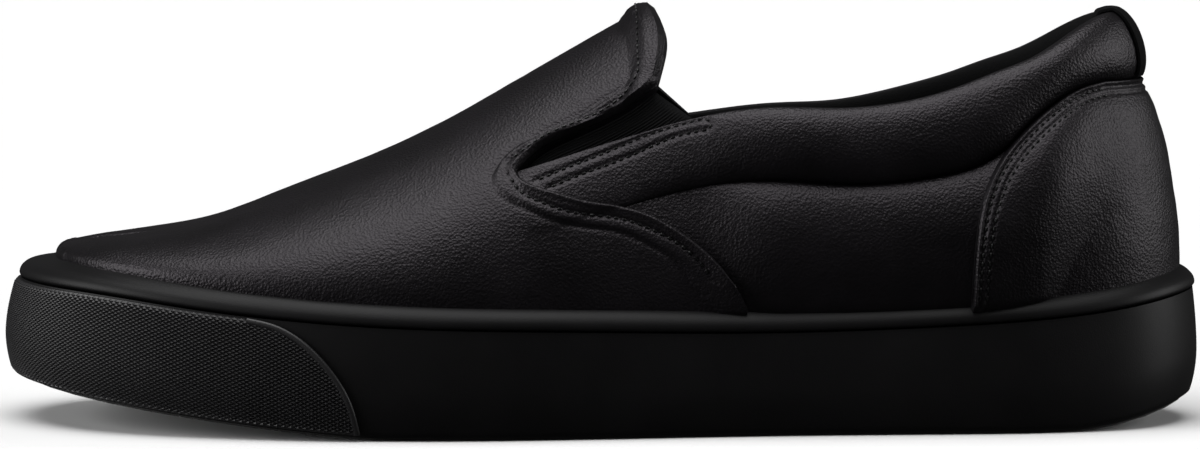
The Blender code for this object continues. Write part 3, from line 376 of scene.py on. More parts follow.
def spline(places, values):
    """The natural cubic spline through the points, as a function."""
    places, values = np.asarray(places, float), np.asarray(values, float)
    count, step = len(places), np.diff(places)
    matrix, right = np.zeros((count, count)), np.zeros(count)
    matrix[0, 0] = matrix[-1, -1] = 1
    for i in range(1, count - 1):
        matrix[i, i - 1 : i + 2] = step[i - 1], 2 * (step[i - 1] + step[i]), step[i]
        right[i] = 6 * ((values[i + 1] - values[i]) / step[i] - (values[i] - values[i - 1]) / step[i - 1])
    bend = np.linalg.solve(matrix, right)

    def read(at):
        i = np.clip(np.searchsorted(places, at) - 1, 0, count - 2)
        past, left, width = at - places[i], places[i + 1] - at, step[i]
        curved = (bend[i + 1] * past**3 + bend[i] * left**3) / (6 * width)
        return curved + (values[i + 1] / width - bend[i + 1] * width / 6) * past + (
            values[i] / width - bend[i] * width / 6
        ) * left

    return read


def table(rows, column):
    """A column of a table as a smooth function of the share of the sole's length, level past its ends."""
    places = [row[0] for row in rows]
    read = spline(places, [getattr(row, column) for row in rows])
    return lambda at: read(np.clip(at, places[0], places[-1]))


def loop_table(rows, column, mirror):
    """A column as a function of the angle round the foot, mirrored to run smoothly over toe and heel.
    mirror is -1 for half widths, which change sign across the centre line, and 1 for the rest."""
    angle = angle_at([row.along for row in rows])
    value = np.array([getattr(row, column) for row in rows], float)
    past_toe = angle > 1e-9
    angle = np.concatenate([-angle[past_toe][::-1], angle])
    value = np.concatenate([mirror * value[past_toe][::-1], value])
    if abs(angle[-1] - math.pi) < 1e-9:
        angle, value = angle[1:], value[1:]
        angle = np.concatenate([angle - TWO_PI, angle, angle + TWO_PI])
        value = np.concatenate([value, value, value])
    return spline(angle, value)


def ease(share):
    """0 to 1 with no kink at either end."""
    share = np.clip(share, 0, 1)
    return share**3 * (10 - 15 * share + 6 * share**2)


def matched(first, second):
    return np.broadcast_arrays(np.asarray(first, float), np.asarray(second, float))


def unit(vectors):
    return vectors / np.linalg.norm(vectors, axis=-1, keepdims=True)


def lengths(steps):
    """Distance along a curve at each of its points, from the lengths of its steps."""
    return np.concatenate([[0], np.cumsum(steps)])


def dent(distance, width):
    """1 on a seam's line, fading out over a width."""
    return np.exp(-((distance / width) ** 2))


def stack(*parts):
    return np.stack(np.broadcast_arrays(*parts), axis=-1)


half_outline = loop_table(OUTLINE, "half_width", -1)
outline_bend = loop_table(OUTLINE, "bend", 1)
sidewall_top = loop_table(SIDEWALL_TOP, "height", 1)
ledge_share = loop_table(LEDGES, "ledge", 1)
top_inset_share = loop_table(LEDGES, "top_inset", 1)
ridge_share = table(RIDGE, "height")
tab_edge_share = table(TAB_EDGE, "height")
tab_end_along = table(TAB_END, "along")


def mirrored_tail(rows, column, mirror):
    """Like loop_table for a table that starts behind the toe: it is only read from its first row back."""
    angle = angle_at([row.along for row in rows])
    value = np.array([getattr(row, column) for row in rows], float)
    around = np.concatenate([angle, TWO_PI - angle[:-1][::-1]])
    read = spline(around, np.concatenate([value, mirror * value[:-1][::-1]]))
    return lambda round_foot: read(np.maximum(np.abs(round_foot), angle[0]))


rim_half_share = mirrored_tail(RIM, "half_width", -1)
rim_height_share = mirrored_tail(RIM, "height", 1)
rim_inner_drop = mirrored_tail(RIM, "inner_drop", 1)
pad_height_share = mirrored_tail(PAD, "height", 1)
pad_fullness = mirrored_tail(PAD, "fullness", 1)
section = {name: loop_table(SECTIONS, name, 1) for name in Section._fields[1:]}


def outline(round_foot):
    """Plan point of the sole's widest line."""
    across = (outline_bend(round_foot) + half_outline(round_foot)) * BALL_WIDTH / 2
    return stack(along_at(round_foot) * SOLE_LENGTH, across)


def outward(round_foot):
    """Plan direction that points out of the sole."""
    step = 1e-4
    run = outline(round_foot + step) - outline(round_foot - step)
    run = unit(run)
    return stack(-run[..., 1], run[..., 0])


def ledge(round_foot):
    return LEDGE * ledge_share(round_foot)


def inset_outline(round_foot, inset):
    return outline(round_foot) - outward(round_foot) * np.asarray(inset)[..., None]


def ground(along):
    """Height of the sole's underside: flat, with the toe sprung up and the back of the heel bevelled."""
    toe = np.clip(1 - along * SOLE_LENGTH / TOE_SPRING_LENGTH, 0, None)
    heel = np.clip(1 - (1 - along) * SOLE_LENGTH / HEEL_BEVEL_LENGTH, 0, None)
    return TOE_SPRING * toe**TOE_SPRING_CURVE + HEEL_BEVEL * heel**HEEL_BEVEL_CURVE


def lip(round_foot):
    """Height of the top of the sole's side, where the upper comes out of it."""
    return SIDEWALL_HEIGHT * sidewall_top(round_foot)


def footbed(along):
    """Height of the midsole's top."""
    ramp = ease((along - HEEL_RAMP_START) / (HEEL_RAMP_END - HEEL_RAMP_START))
    return ground(along) + FOREFOOT_STACK + (HEEL_STACK - FOREFOOT_STACK) * ramp


def sidewall_inset(round_foot, share):
    """How far the sidewall's face stands in from its widest line, at a share of its height."""
    low = SIDEWALL_BOTTOM_INSET * np.clip(1 - share / WIDEST_SHARE, 0, None) ** 2
    high = np.clip((share - WIDEST_SHARE) / (1 - WIDEST_SHARE), 0, None) ** SIDEWALL_LEAN_CURVE
    return low + SIDEWALL_TOP_INSET * top_inset_share(round_foot) * high


def with_height(plan, height):
    return stack(plan[..., 0], plan[..., 1], height)


def sidewall_point(round_foot, share, out=0.0):
    """Point of the sidewall's face at a share of its height, moved out by a distance."""
    low = ground(along_at(round_foot))
    height = low + (lip(round_foot) - low) * share
    return with_height(inset_outline(round_foot, sidewall_inset(round_foot, share) - out), height)


def skirt(round_foot):
    """How far the upper runs down inside the sole, from the sole's top edge to the midsole."""
    return lip(round_foot) - footbed(along_at(round_foot)) - GAP


def rising_curve(round_foot, climb, top, high, shape):
    """The curve from the sole's edge to the crest. Below climb 0 it runs straight down."""
    base = with_height(inset_outline(round_foot, ledge(round_foot)), lip(round_foot))
    out = with_height(outward(round_foot), np.zeros_like(round_foot))
    rise = (top[..., 2] - base[..., 2])[..., None]
    low = base + out * (LEDGE * shape["flare"])[..., None] + UP * rise * shape["rise"][..., None]
    t = np.clip(climb, 0, 1)[..., None]
    upper = high(base, rise, out)
    curve = base * (1 - t) ** 3 + 3 * low * (1 - t) ** 2 * t + 3 * upper * (1 - t) * t**2 + top * t**3
    return curve + UP * (np.minimum(climb, 0) * skirt(round_foot))[..., None]


def vamp_form(round_foot, climb):
    """Point of the sheet that rises to the ridge of the vamp, which fans out round the toe."""
    round_foot, climb = matched(round_foot, climb)
    along = along_at(round_foot)
    at = along + SPINE_START * np.clip(1 - along / SPINE_GATHER, 0, None) ** 2
    across = outline_bend(angle_at(at)) * BALL_WIDTH / 2
    top = stack(at * SOLE_LENGTH, across, INSTEP_HEIGHT * ridge_share(at))
    shape = {name: read(round_foot) for name, read in section.items()}
    step = 1e-4
    slope = (ridge_share(at + step) - ridge_share(at - step)) * INSTEP_HEIGHT / (2 * step * SOLE_LENGTH)

    def high(base, rise, out):
        span = (base - top) * shape["reach"][..., None]
        return top + stack(span[..., 0], span[..., 1], span[..., 0] * slope)

    return rising_curve(round_foot, climb, top, high, shape)


def rim_form(round_foot, climb):
    """Point of the sheet that rises to the rim of the collar."""
    round_foot, climb = matched(round_foot, climb)
    along = along_at(round_foot)
    lean = np.clip((along - COLLAR_LEAN_START) / (1 - COLLAR_LEAN_START), 0, None) ** COLLAR_LEAN_POWER
    at = along - COLLAR_SETBACK / SOLE_LENGTH * lean
    half = rim_half_share(round_foot) * COLLAR_WIDTH / 2 * np.where(round_foot < 0, -1, 1)
    across = outline_bend(angle_at(at)) * BALL_WIDTH / 2 + half
    top = stack(at * SOLE_LENGTH, across, rim_height(round_foot))
    shape = {name: read(round_foot) for name, read in section.items()}

    def high(base, rise, out):
        return top + out * (LEDGE * shape["top_flare"])[..., None] - UP * rise * shape["drop"][..., None]

    return rising_curve(round_foot, climb, top, high, shape)


def quarter_form(round_foot, climb):
    """Point of the lower sheet: the vamp's own in front of the notch, and the collar's behind it."""
    round_foot, climb = matched(round_foot, climb)
    along = along_at(round_foot)
    scaled = np.where(climb > 0, climb * notch_split(along), climb)
    blend = ease((along - NOTCH_POINT) / (SHEETS_PART - NOTCH_POINT))[..., None]
    return vamp_form(round_foot, scaled) * (1 - blend) + rim_form(round_foot, climb) * blend


def sheet_normal(sheet, round_foot, climb):
    """Outward direction of a sheet. At the ridge of the vamp both sides are averaged."""
    step = 2e-3
    round_foot, climb = matched(round_foot, climb)
    at = np.clip(climb, step, 1 - 4 * step)

    def one_side(angle):
        around = sheet(angle + step, at) - sheet(angle - step, at)
        upward = sheet(angle, at + step) - sheet(angle, at - step)
        normal = np.cross(upward, around)
        return unit(normal)

    normal = one_side(round_foot)
    if sheet is vamp_form:
        both = normal + one_side(-round_foot)
        both = unit(both)
        normal = np.where((climb > 1 - step)[..., None], both, normal)
    return normal


def climb_at_height(sheet, round_foot, height):
    """The climb at which each rising curve of a sheet reaches a height."""
    round_foot, height = matched(round_foot, height)
    low, high = np.zeros(round_foot.shape), np.ones(round_foot.shape)
    for _ in range(26):
        middle = (low + high) / 2
        under = sheet(round_foot, middle)[..., 2] < height
        low, high = np.where(under, middle, low), np.where(under, high, middle)
    return (low + high) / 2


def rim_height(round_foot):
    drop = np.where(np.asarray(round_foot) > 0, rim_inner_drop(round_foot), 0)
    return COLLAR_HEIGHT * (rim_height_share(round_foot) - drop)


def tab_edge_height(along):
    rim, ridge = rim_height(-angle_at(along)), INSTEP_HEIGHT * ridge_share(along)
    return rim + (ridge - rim) * tab_edge_share(along)


def crease_height(round_foot):
    return rim_height(round_foot) - COLLAR_HEIGHT * pad_height_share(round_foot)


def measure_split():
    """The climb of the notch's lower edge on the vamp's sheet, level in front of the notch."""
    along = np.linspace(NOTCH_POINT, SHEETS_PART, 9)
    angle = angle_at(along)
    read = spline(along, climb_at_height(vamp_form, angle, rim_height(-angle)))
    return lambda at: read(np.clip(at, NOTCH_POINT, SHEETS_PART))


notch_split = measure_split()


def pad_offsets(round_foot, below_rim):
    """Outer and inner offsets of the padded wall. below_rim is 0 at the rim and 1 at the crease."""
    full = pad_fullness(round_foot)
    x = np.clip(below_rim, 0, 1)
    swell = np.sqrt(np.clip(1 - (2 * x - 1) ** 2, 0, None))
    edge = RIM_THICKNESS / 2 + (WALL - RIM_THICKNESS) / 2 * x
    outer = full * (edge - WALL / 2 + PAD_BULGE_OUT * swell)
    inner = -WALL - full * (edge - WALL / 2 + PAD_BULGE_IN * swell)
    return outer, inner


def tab_place(step, across):
    """Angle and climb of a point of the tab: step runs back from the notch, across up to the ridge."""
    along = NOTCH_POINT + (tab_end_along(across) - NOTCH_POINT) * step
    angle = angle_at(along)
    edge = climb_at_height(vamp_form, angle, tab_edge_height(along))
    return angle, edge + (1 - edge) * across


def tab_swell(step, across):
    """The padded roll along the end of the tab."""
    length = (tab_end_along(across) - NOTCH_POINT) * SOLE_LENGTH
    x = np.clip((1 - step) * length / TAB_ROLL_WIDTH, 0, 1)
    return TAB_ROLL * np.sqrt(np.clip(1 - (2 * x - 1) ** 2, 0, None))


def sole_middle():
    """Centre of the sole's box in plan. Only the toe bumper reaches past the widest line."""
    points = outline(np.linspace(-math.pi, math.pi, 721))
    low, high = points.min(axis=0), points.max(axis=0)
    low[0] -= BUMPER_THICKNESS + GAP
    return (low + high) / 2


ORIGIN = sole_middle()


CAD_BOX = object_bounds()


def spaced(start, end, count, fine_start=0.0, fine_end=0.0):
    """Even steps from start to end, pulled closer together near either end."""
    t = np.linspace(0, 1, count)
    t = t * (1 - fine_start) + fine_start * t**2 if fine_start else t
    t = t * (1 - fine_end) + fine_end * (1 - (1 - t) ** 2) if fine_end else t
    return start + (end - start) * t


def edge_points(rows):
    return np.array([row.along for row in rows]), np.array([row.height for row in rows])


def crease_climb_of(side):
    angle = np.linspace(float(angle_at(NOTCH_POINT)) - NOTCH_LEAD, math.pi, 90)
    return spline(angle, climb_at_height(quarter_form, side * angle, crease_height(side * angle)))


CREASE_CLIMB = {side: crease_climb_of(side) for side in (-1, 1)}


def counter_run(count=90):
    """The counter's edge as stations and heights, from the sole to the back."""
    at, height = edge_points(COUNTER_EDGE)
    length = lengths(np.hypot(np.diff(at) * SOLE_LENGTH, np.diff(height) * COLLAR_HEIGHT))
    run = np.linspace(0, length[-1], count)
    station, top = spline(length, at)(run) * SOLE_LENGTH, spline(length, height)(run) * COLLAR_HEIGHT
    keep = np.concatenate([[True], np.diff(np.maximum.accumulate(station)) > 1e-5 * SOLE_LENGTH])
    return station[keep], top[keep]


def pad_edge_of(side):
    """The padding's lower edge: the crease, and behind it the counter's edge."""
    angle = np.linspace(float(angle_at(NOTCH_POINT)) - NOTCH_LEAD, math.pi, 400)
    station, top = counter_run()
    height = np.interp(along_at(angle) * SOLE_LENGTH, station, top, left=0.0)
    counter = climb_at_height(quarter_form, side * angle, np.maximum(height, 0.3 * COLLAR_HEIGHT))
    return angle, np.maximum(CREASE_CLIMB[side](angle), counter)


PAD_EDGE = {side: pad_edge_of(side) for side in (-1, 1)}


def pad_edge_climb(angle):
    outer, inner = PAD_EDGE[-1], PAD_EDGE[1]
    return np.where(angle < 0, np.interp(np.abs(angle), *outer), np.interp(np.abs(angle), *inner))


def below_rim(angle, climb):
    """0 at the collar's rim, 1 at the padding's lower edge, more below it."""
    return (1 - climb) / (1 - pad_edge_climb(angle))


def quarter_bulge(angle, below):
    """How far the quarter stands out between the crease and the sole."""
    past = np.clip((below - 1) / QUARTER_BULGE_REACH, 0, 1)
    swell = np.sin(math.pi * past**QUARTER_BULGE_CURVE)
    grown = ease((along_at(angle) - QUARTER_BULGE_START) / QUARTER_BULGE_GROWS)
    kept = 1 - ease((along_at(angle) - QUARTER_BULGE_END) / QUARTER_BULGE_FADES)
    return QUARTER_BULGE * swell * grown * kept


def wall_offsets(angle, climb):
    """Outer and inner offsets of the quarters and the padded collar from their form."""
    below = below_rim(angle, climb)
    outer, inner = pad_offsets(angle, below)
    padded = below < 1
    return np.where(padded, outer, 0) + quarter_bulge(angle, below), np.where(padded, inner, -WALL)


def locate(sheet, side, station, height):
    """Angle and climb of the sheet's point at a station from the toe and a height."""
    station, height = np.asarray(station, float), np.asarray(height, float)
    angle = side * angle_at(station / SOLE_LENGTH)
    for _ in range(5):
        climb = climb_at_height(sheet, angle, height)
        past = station - sheet(angle, climb)[..., 0]
        angle = side * angle_at(along_at(angle) + past / SOLE_LENGTH)
    return angle, climb_at_height(sheet, angle, height)


def smooth_run(places, spacing):
    """A smooth curve through side places, as evenly spaced stations and heights."""
    places = np.array(places, float)
    length = lengths(np.hypot(*np.diff(places, axis=0).T))
    at = np.linspace(0, length[-1], max(int(length[-1] / spacing), 2) + 1)
    return spline(length, places[:, 0])(at), spline(length, places[:, 1])(at)


def tree_of(points):
    tree = KDTree(len(points))
    for i, point in enumerate(points):
        tree.insert(point, i)
    tree.balance()
    return tree


def nearness(points, curve):
    """Distance from each point to a curve given as dense points."""
    tree = tree_of(curve)
    return np.array([tree.find(point)[2] for point in points])


SHEETS = {"vamp": vamp_form, "quarter": quarter_form}


def seam_on(seam, side, spacing=0.3 * MM):
    """A seam as dense points on its sheet, with the sheet's normals."""
    sheet = SHEETS[seam.sheet]
    station, height = smooth_run(np.array(seam.places) * MM, spacing)
    if side > 0 and seam.sheet == "quarter":
        angle = angle_at(np.maximum(station / SOLE_LENGTH, NOTCH_POINT))
        height = height * rim_height(angle) / rim_height(-angle)
    angle, climb = locate(sheet, side, station, height)
    return sheet(angle, climb), sheet_normal(sheet, angle, climb)


def pressed(layer, seams):
    """The relief of seams on a layer: narrow troughs."""
    relief = np.zeros(len(layer.base))
    for side in (-1, 1):
        for seam in seams:
            relief -= seam.depth * dent(nearness(layer.base, seam_on(seam, side)[0]), seam.width)
    return relief


def stitches(name, layer, curves, thread, slot, sides=6, rings=6):
    """Rows of short stitches along curves on a layer, each sunk at its ends."""
    tree = tree_of(layer.base)
    points, faces = [], []
    turn = np.linspace(0, TWO_PI, sides, endpoint=False)
    for base, normal in curves:
        length = lengths(np.linalg.norm(np.diff(base, axis=0), axis=1))
        for start in np.arange(0.5 * STITCH_PITCH, length[-1] - STITCH_PITCH, STITCH_PITCH):
            share = np.linspace(-1, 1, rings)
            at = start + STITCH_LENGTH * (share + 1) / 2
            centre = np.stack([np.interp(at, length, base[:, k]) for k in range(3)], axis=1)
            up = np.stack([np.interp(at, length, normal[:, k]) for k in range(3)], axis=1)
            near = [tree.find_n(point, 4) for point in centre]
            weight = np.array([[1 / (hit[2] + 0.1 * MM) for hit in hits] for hits in near])
            outer = np.array([[layer.outer[hit[1]] for hit in hits] for hits in near])
            skin = (outer * weight).sum(axis=1) / weight.sum(axis=1)
            over = skin + 0.5 * STITCH_RADIUS - STITCH_SINK * share**4
            centre = centre + up * over[:, None]
            ahead = centre[-1] - centre[0]
            across = np.cross(ahead / np.linalg.norm(ahead), up)
            radius = STITCH_RADIUS * np.sqrt(np.maximum(1.02 - share**4, 0.02))
            ring = across[:, None] * np.cos(turn)[:, None] + up[:, None] * np.sin(turn)[:, None]
            first = len(points) * rings * sides
            points.append((centre[:, None] + ring * radius[:, None, None]).reshape(-1, 3))
            for i in range(rings - 1):
                for j in range(sides):
                    beside = (j + 1) % sides
                    faces.append([first + i * sides + j, first + i * sides + beside,
                                  first + (i + 1) * sides + beside, first + (i + 1) * sides + j])
            half = sides // 2
            for end in (first, first + (rings - 1) * sides):
                for k in range(half - 1):
                    faces.append([end + k, end + k + 1, end + sides - 2 - k, end + sides - 1 - k])
    return piece(name, np.concatenate(points), np.array(faces), [thread], slot)


def uneven(points, scale, seed):
    """Smooth unevenness between -1 and 1."""
    shift = Vector((seed * 3.1, seed * 1.7, seed * 2.3))
    return np.array([noise.noise(Vector(point) / scale + shift) for point in points])


def wrinkled(points, waves):
    return sum(height * uneven(points, size, seed) for height, size, seed in waves)


def open_edges(faces):
    """The open edges of a skin of four-cornered faces, as pairs of point numbers."""
    sides = np.concatenate([faces[:, [i, (i + 1) % 4]] for i in range(4)])
    sides = sides[sides[:, 0] != sides[:, 1]]
    _, first, count = np.unique(np.sort(sides, axis=1), axis=0, return_index=True, return_counts=True)
    return sides[first[count == 1]]


def closed_faces(skin, count):
    """A skin on the outer points, the same one turned over on the inner points, and the edge between."""
    rim = open_edges(skin)
    edge = np.stack([rim[:, 1], rim[:, 0], rim[:, 0] + count, rim[:, 1] + count], axis=1)
    return np.concatenate([skin, skin[:, ::-1] + count, edge])


class Layer:
    """Patches of one layer of the upper, welded into one skin where they meet."""

    def __init__(self):
        self.base, self.normal, self.outer, self.inner, self.faces, self.tags = [], [], [], [], [], []

    def patch(self, sheet, angle, climb, outer, inner, tag=0):
        """Adds a lattice of points; rows run round the foot and columns up it."""
        base, normal = sheet(angle, climb), sheet_normal(sheet, angle, climb)
        start = sum(len(part) for part in self.base)
        self.base.append(base.reshape(-1, 3))
        self.normal.append(normal.reshape(-1, 3))
        self.outer.append(np.broadcast_to(outer, angle.shape).reshape(-1))
        self.inner.append(np.broadcast_to(inner, angle.shape).reshape(-1))
        self.faces.append(lattice_faces(*angle.shape) + start)
        self.tags.append(np.broadcast_to(tag, angle.shape).reshape(-1))

    def weld(self):
        base, normal = np.concatenate(self.base), np.concatenate(self.normal)
        cells = np.round(base * WELD_FINENESS).astype(int)
        _, first, index = np.unique(cells, axis=0, return_index=True, return_inverse=True)
        index = index.reshape(-1)
        shared = np.zeros((len(first), 3))
        np.add.at(shared, index, normal)
        self.base, self.normal = base[first], unit(shared)
        self.outer, self.inner = np.concatenate(self.outer)[first], np.concatenate(self.inner)[first]
        self.tags = np.concatenate(self.tags)[first]
        self.faces = index[np.concatenate(self.faces)]
        return self

    def outside(self):
        return self.base + self.normal * self.outer[:, None]

    def solid(self):
        """Points and faces of the closed wall, outer ones first."""
        inside = self.base + self.normal * self.inner[:, None]
        return np.concatenate([self.outside(), inside]), closed_faces(self.faces, len(self.base))


def lattice_faces(rows, columns):
    r, c = np.meshgrid(np.arange(rows - 1), np.arange(columns - 1), indexing="ij")
    first = (r * columns + c).reshape(-1)
    return np.stack([first, first + 1, first + columns + 1, first + columns], axis=1)


def piece(name, points, faces, materials, slot, replaces=(), which=None, flat=False):
    """A mesh object in the frame's place, riding on the shoe's one body."""
    mesh = bpy.data.meshes.new(name)
    placed = np.asarray(points, float) - np.append(ORIGIN, 0.0)
    cleaned = []
    for face in np.asarray(faces).tolist():
        corners = list(dict.fromkeys(face))
        cleaned.append(corners if len(corners) > 2 else None)
    keep = [i for i, face in enumerate(cleaned) if face]
    mesh.from_pydata(placed.tolist(), [], [cleaned[i] for i in keep])
    for material in materials:
        mesh.materials.append(material)
    if which is not None:
        mesh.polygons.foreach_set("material_index", np.asarray(which)[keep].astype(np.int32))
    work = bmesh.new()
    work.from_mesh(mesh)
    bmesh.ops.recalc_face_normals(work, faces=work.faces)
    work.to_mesh(mesh)
    work.free()
    if not flat:
        mesh.shade_smooth()
        mesh.set_sharp_from_angle(angle=math.radians(50))
    made = bpy.data.objects.new(name, mesh)
    bpy.context.scene.collection.objects.link(made)
    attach(made, "root")
    if replaces:
        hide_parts(*replaces)
    return made


def wing_top(along):
    """Height of the wing's rear edge below the notch."""
    at, height = edge_points(WING_EDGE[1:])
    start = NOTCH_POINT, float(rim_height(-angle_at(NOTCH_POINT))) / COLLAR_HEIGHT
    at = np.concatenate([[start[0], start[0] + WING_LEAD.along], at])
    height = np.concatenate([[start[1], WING_LEAD.height], height])
    return COLLAR_HEIGHT * spline(at, height)(along)


def rounded(distance, radius):
    """0 at an edge and 1 past its rounding."""
    return np.sqrt(np.clip(1 - (1 - np.clip(distance / radius, 0, 1)) ** 2, 0, 1))


def vamp_grid():
    """The smooth front layer: the foot in front of the notch, a wing below it and the tab above it."""
    layer = Layer()
    split = float(notch_split(NOTCH_POINT))
    rise = spaced(0, 1, 46, 0.2, 0.6)
    high = spaced(0, 1, 44, 0.6, 0.2)
    low_rows = np.concatenate([[-0.30, -0.12], rise])
    notch_angle = float(angle_at(NOTCH_POINT))
    front = spaced(0, notch_angle, 130, 0.0, 0.8)
    out = GAP + VAMP_THICKNESS
    for side in (-1, 1):
        angle, climb = np.meshgrid(side * front, low_rows, indexing="ij")
        layer.patch(vamp_form, angle, np.where(climb > 0, climb * split, climb), out, 0.5 * GAP, 1)
        angle, climb = np.meshgrid(side * front, split + (1 - split) * high, indexing="ij")
        layer.patch(vamp_form, angle, climb, out, 0.5 * GAP, 2)
        wing = side * angle_at(spaced(NOTCH_POINT, WING_EDGE[-1].along, 74, 0.85, 0.0))
        edge = np.maximum(wing_top(along_at(wing)), lip(wing) + WING_CLEARANCE)
        top = climb_at_height(quarter_form, wing, edge)
        top[0] = 1.0
        angle, climb = np.meshgrid(wing, low_rows, indexing="ij")
        climb = np.where(climb > 0, climb * top[:, None], climb)
        layer.patch(quarter_form, angle, climb, out + wall_offsets(angle, climb)[0], 0.5 * GAP, 3)
        step, across = np.meshgrid(spaced(0, 1, 50, 0.85, 0.3), high, indexing="ij")
        angle, climb = tab_place(step, across)
        angle[0], climb[0] = notch_angle, split + (1 - split) * high
        layer.patch(vamp_form, side * angle, climb, out + tab_swell(step, across), 0.5 * GAP, 4)
    return layer.weld()


def dress_vamp(layer):
    """Rolls the vamp's edges, presses its seams in and gives it its soft unevenness."""
    rim = open_edges(layer.faces)
    ends = layer.base[rim].mean(axis=1)
    is_free = ends[:, 2] > SIDEWALL_HEIGHT * FREE_EDGE_SHARE
    free = ends[is_free]
    edge = nearness(layer.base, np.concatenate([free, layer.base[rim][:, 0][is_free]]))
    roll = rounded(edge, EDGE_RADIUS)
    layer.outer = layer.outer * roll + (1 - roll) * 0.5 * GAP
    bead = EDGE_BEAD * dent(edge - EDGE_BEAD_AT, EDGE_BEAD_WIDTH)
    fold_seams = [seam for seam in VAMP_SEAMS if not seam.stitched]
    folds = np.concatenate([seam_on(seam, side)[0] for seam in fold_seams for side in (-1, 1)])
    tree = tree_of(folds)
    fold_edge = nearness(folds, free)
    hits = [tree.find(point) for point in layer.base]
    inside = np.array([fold_edge[hit[1]] for hit in hits]) > edge
    past_fold = ease(np.array([hit[2] for hit in hits]) / BAND_SLOPE)
    band = np.where(inside, past_fold, 0) * (edge < BAND_WIDTH)
    relief = bead + BAND_RISE * band + pressed(layer, VAMP_SEAMS)
    relief += wrinkled(layer.base, VAMP_UNEVEN)
    layer.outer = layer.outer + relief * roll
    over = np.maximum(layer.outside()[:, 2] - CAD_BOX[1][2], 0)
    layer.outer = layer.outer - over / np.maximum(layer.normal[:, 2], TAB_TRIM_SLOPE)
    return layer


def dress_wall(layer):
    """Presses the stitched strip along the quarters' edge and gives their leather its soft unevenness."""
    wrinkles = wrinkled(layer.base, WALL_UNEVEN)
    layer.outer = layer.outer + pressed(layer, WALL_SEAMS) + wrinkles * (layer.tags > 0)
    return layer


def upper_wall():
    """The wall under the vamp, the quarters, the padded collar and the lining: one closed skin."""
    layer = Layer()
    split = float(notch_split(NOTCH_POINT))
    notch_angle = float(angle_at(NOTCH_POINT))
    front = spaced(0, notch_angle, 26)
    around = np.concatenate([front[-1:], spaced(notch_angle, math.pi, 240, 0.6)[1:]])
    wall_rows = np.concatenate([[-1.0, -0.4], spaced(0, 1, 26, 0.1, 0.5)])
    pad_rows = 1 - (np.cos(np.linspace(0, math.pi, 38)) + 1) / 2
    high = spaced(0, 1, 24)
    for side in (-1, 1):
        crease_at_notch = float(pad_edge_climb(side * notch_angle))
        low = np.concatenate([np.where(wall_rows > 0, wall_rows * crease_at_notch, wall_rows),
                              crease_at_notch + (1 - crease_at_notch) * pad_rows[1:]])
        angle, climb = np.meshgrid(side * front, low, indexing="ij")
        layer.patch(quarter_form, angle, climb, 0.0, -WALL, 0)
        angle, climb = np.meshgrid(side * front, split + (1 - split) * high, indexing="ij")
        layer.patch(vamp_form, angle, climb, 0.0, -WALL, 0)
        step, across = np.meshgrid(spaced(0, 1, 26), high, indexing="ij")
        angle, climb = tab_place(step, across)
        angle[0], climb[0] = notch_angle, split + (1 - split) * high
        outer = tab_swell(step, across) - TAB_SINK
        layer.patch(vamp_form, side * angle, climb, outer, -WALL - TAB_ROLL * 0.5, 0)
        crease = pad_edge_climb(side * around)[:, None]
        rows = np.where(wall_rows > 0, wall_rows * crease, wall_rows)
        climb = np.concatenate([rows, crease + (1 - crease) * pad_rows[1:]], axis=1)
        angle = np.broadcast_to(side * around[:, None], climb.shape)
        outer, inner = wall_offsets(angle, climb)
        layer.patch(quarter_form, angle, climb, outer, inner, below_rim(angle, climb) + 1)
    return layer.weld()


def counter_grid():
    """The overlay round the back of the heel."""
    layer = Layer()
    station, top = counter_run()
    along = station / SOLE_LENGTH
    back = np.linspace(float(angle_at(along[-1])), math.pi, 24)[1:]
    column = np.concatenate([angle_at(along), back])
    top = np.concatenate([top, np.full(len(back), top[-1])])
    rows = np.concatenate([[-0.35, -0.15], spaced(0, 1, 74, 0.1, 0.6)])
    high = np.maximum(top, lip(column) + COUNTER_CLEARANCE)
    for side in (-1, 1):
        reach = climb_at_height(quarter_form, side * column, high)[:, None]
        climb = np.where(rows > 0, rows * reach, rows)
        angle = np.broadcast_to(side * column[:, None], climb.shape)
        under = wall_offsets(angle, climb)[0]
        down = (top[:, None] - quarter_form(angle, climb)[..., 2]) / COUNTER_SWELL_REACH
        swell = COUNTER_SWELL * ease(down) * (1 - ease((down - 1.5) / 2))
        layer.patch(quarter_form, angle, climb, under + GAP + COUNTER_THICKNESS + swell, under + 0.3 * GAP)
    return layer.weld()


def dress_counter(layer):
    """Rolls the counter's edge, presses its rows in and gives it its soft unevenness."""
    rim = open_edges(layer.faces)
    ends = layer.base[rim].mean(axis=1)
    sole_edge = SIDEWALL_HEIGHT * COUNTER_FREE_SHARE * sidewall_top(angle_at(ends[:, 0] / SOLE_LENGTH))
    is_free = ends[:, 2] > sole_edge + 0.1 * MM
    edge = nearness(layer.base, np.concatenate([ends[is_free], layer.base[rim][:, 0][is_free]]))
    roll = rounded(edge, EDGE_RADIUS)
    relief = wrinkled(layer.base, COUNTER_UNEVEN)
    for inset, width, depth in COUNTER_ROWS:
        relief -= depth * dent(edge - inset, width)
    at, width = COUNTER_BEAD_SHARE * EDGE_BEAD_AT, COUNTER_BEAD_SHARE * EDGE_BEAD_WIDTH
    relief += EDGE_BEAD * dent(edge - at, width)
    layer.outer = layer.inner + (layer.outer - layer.inner) * roll + relief * roll
    return layer


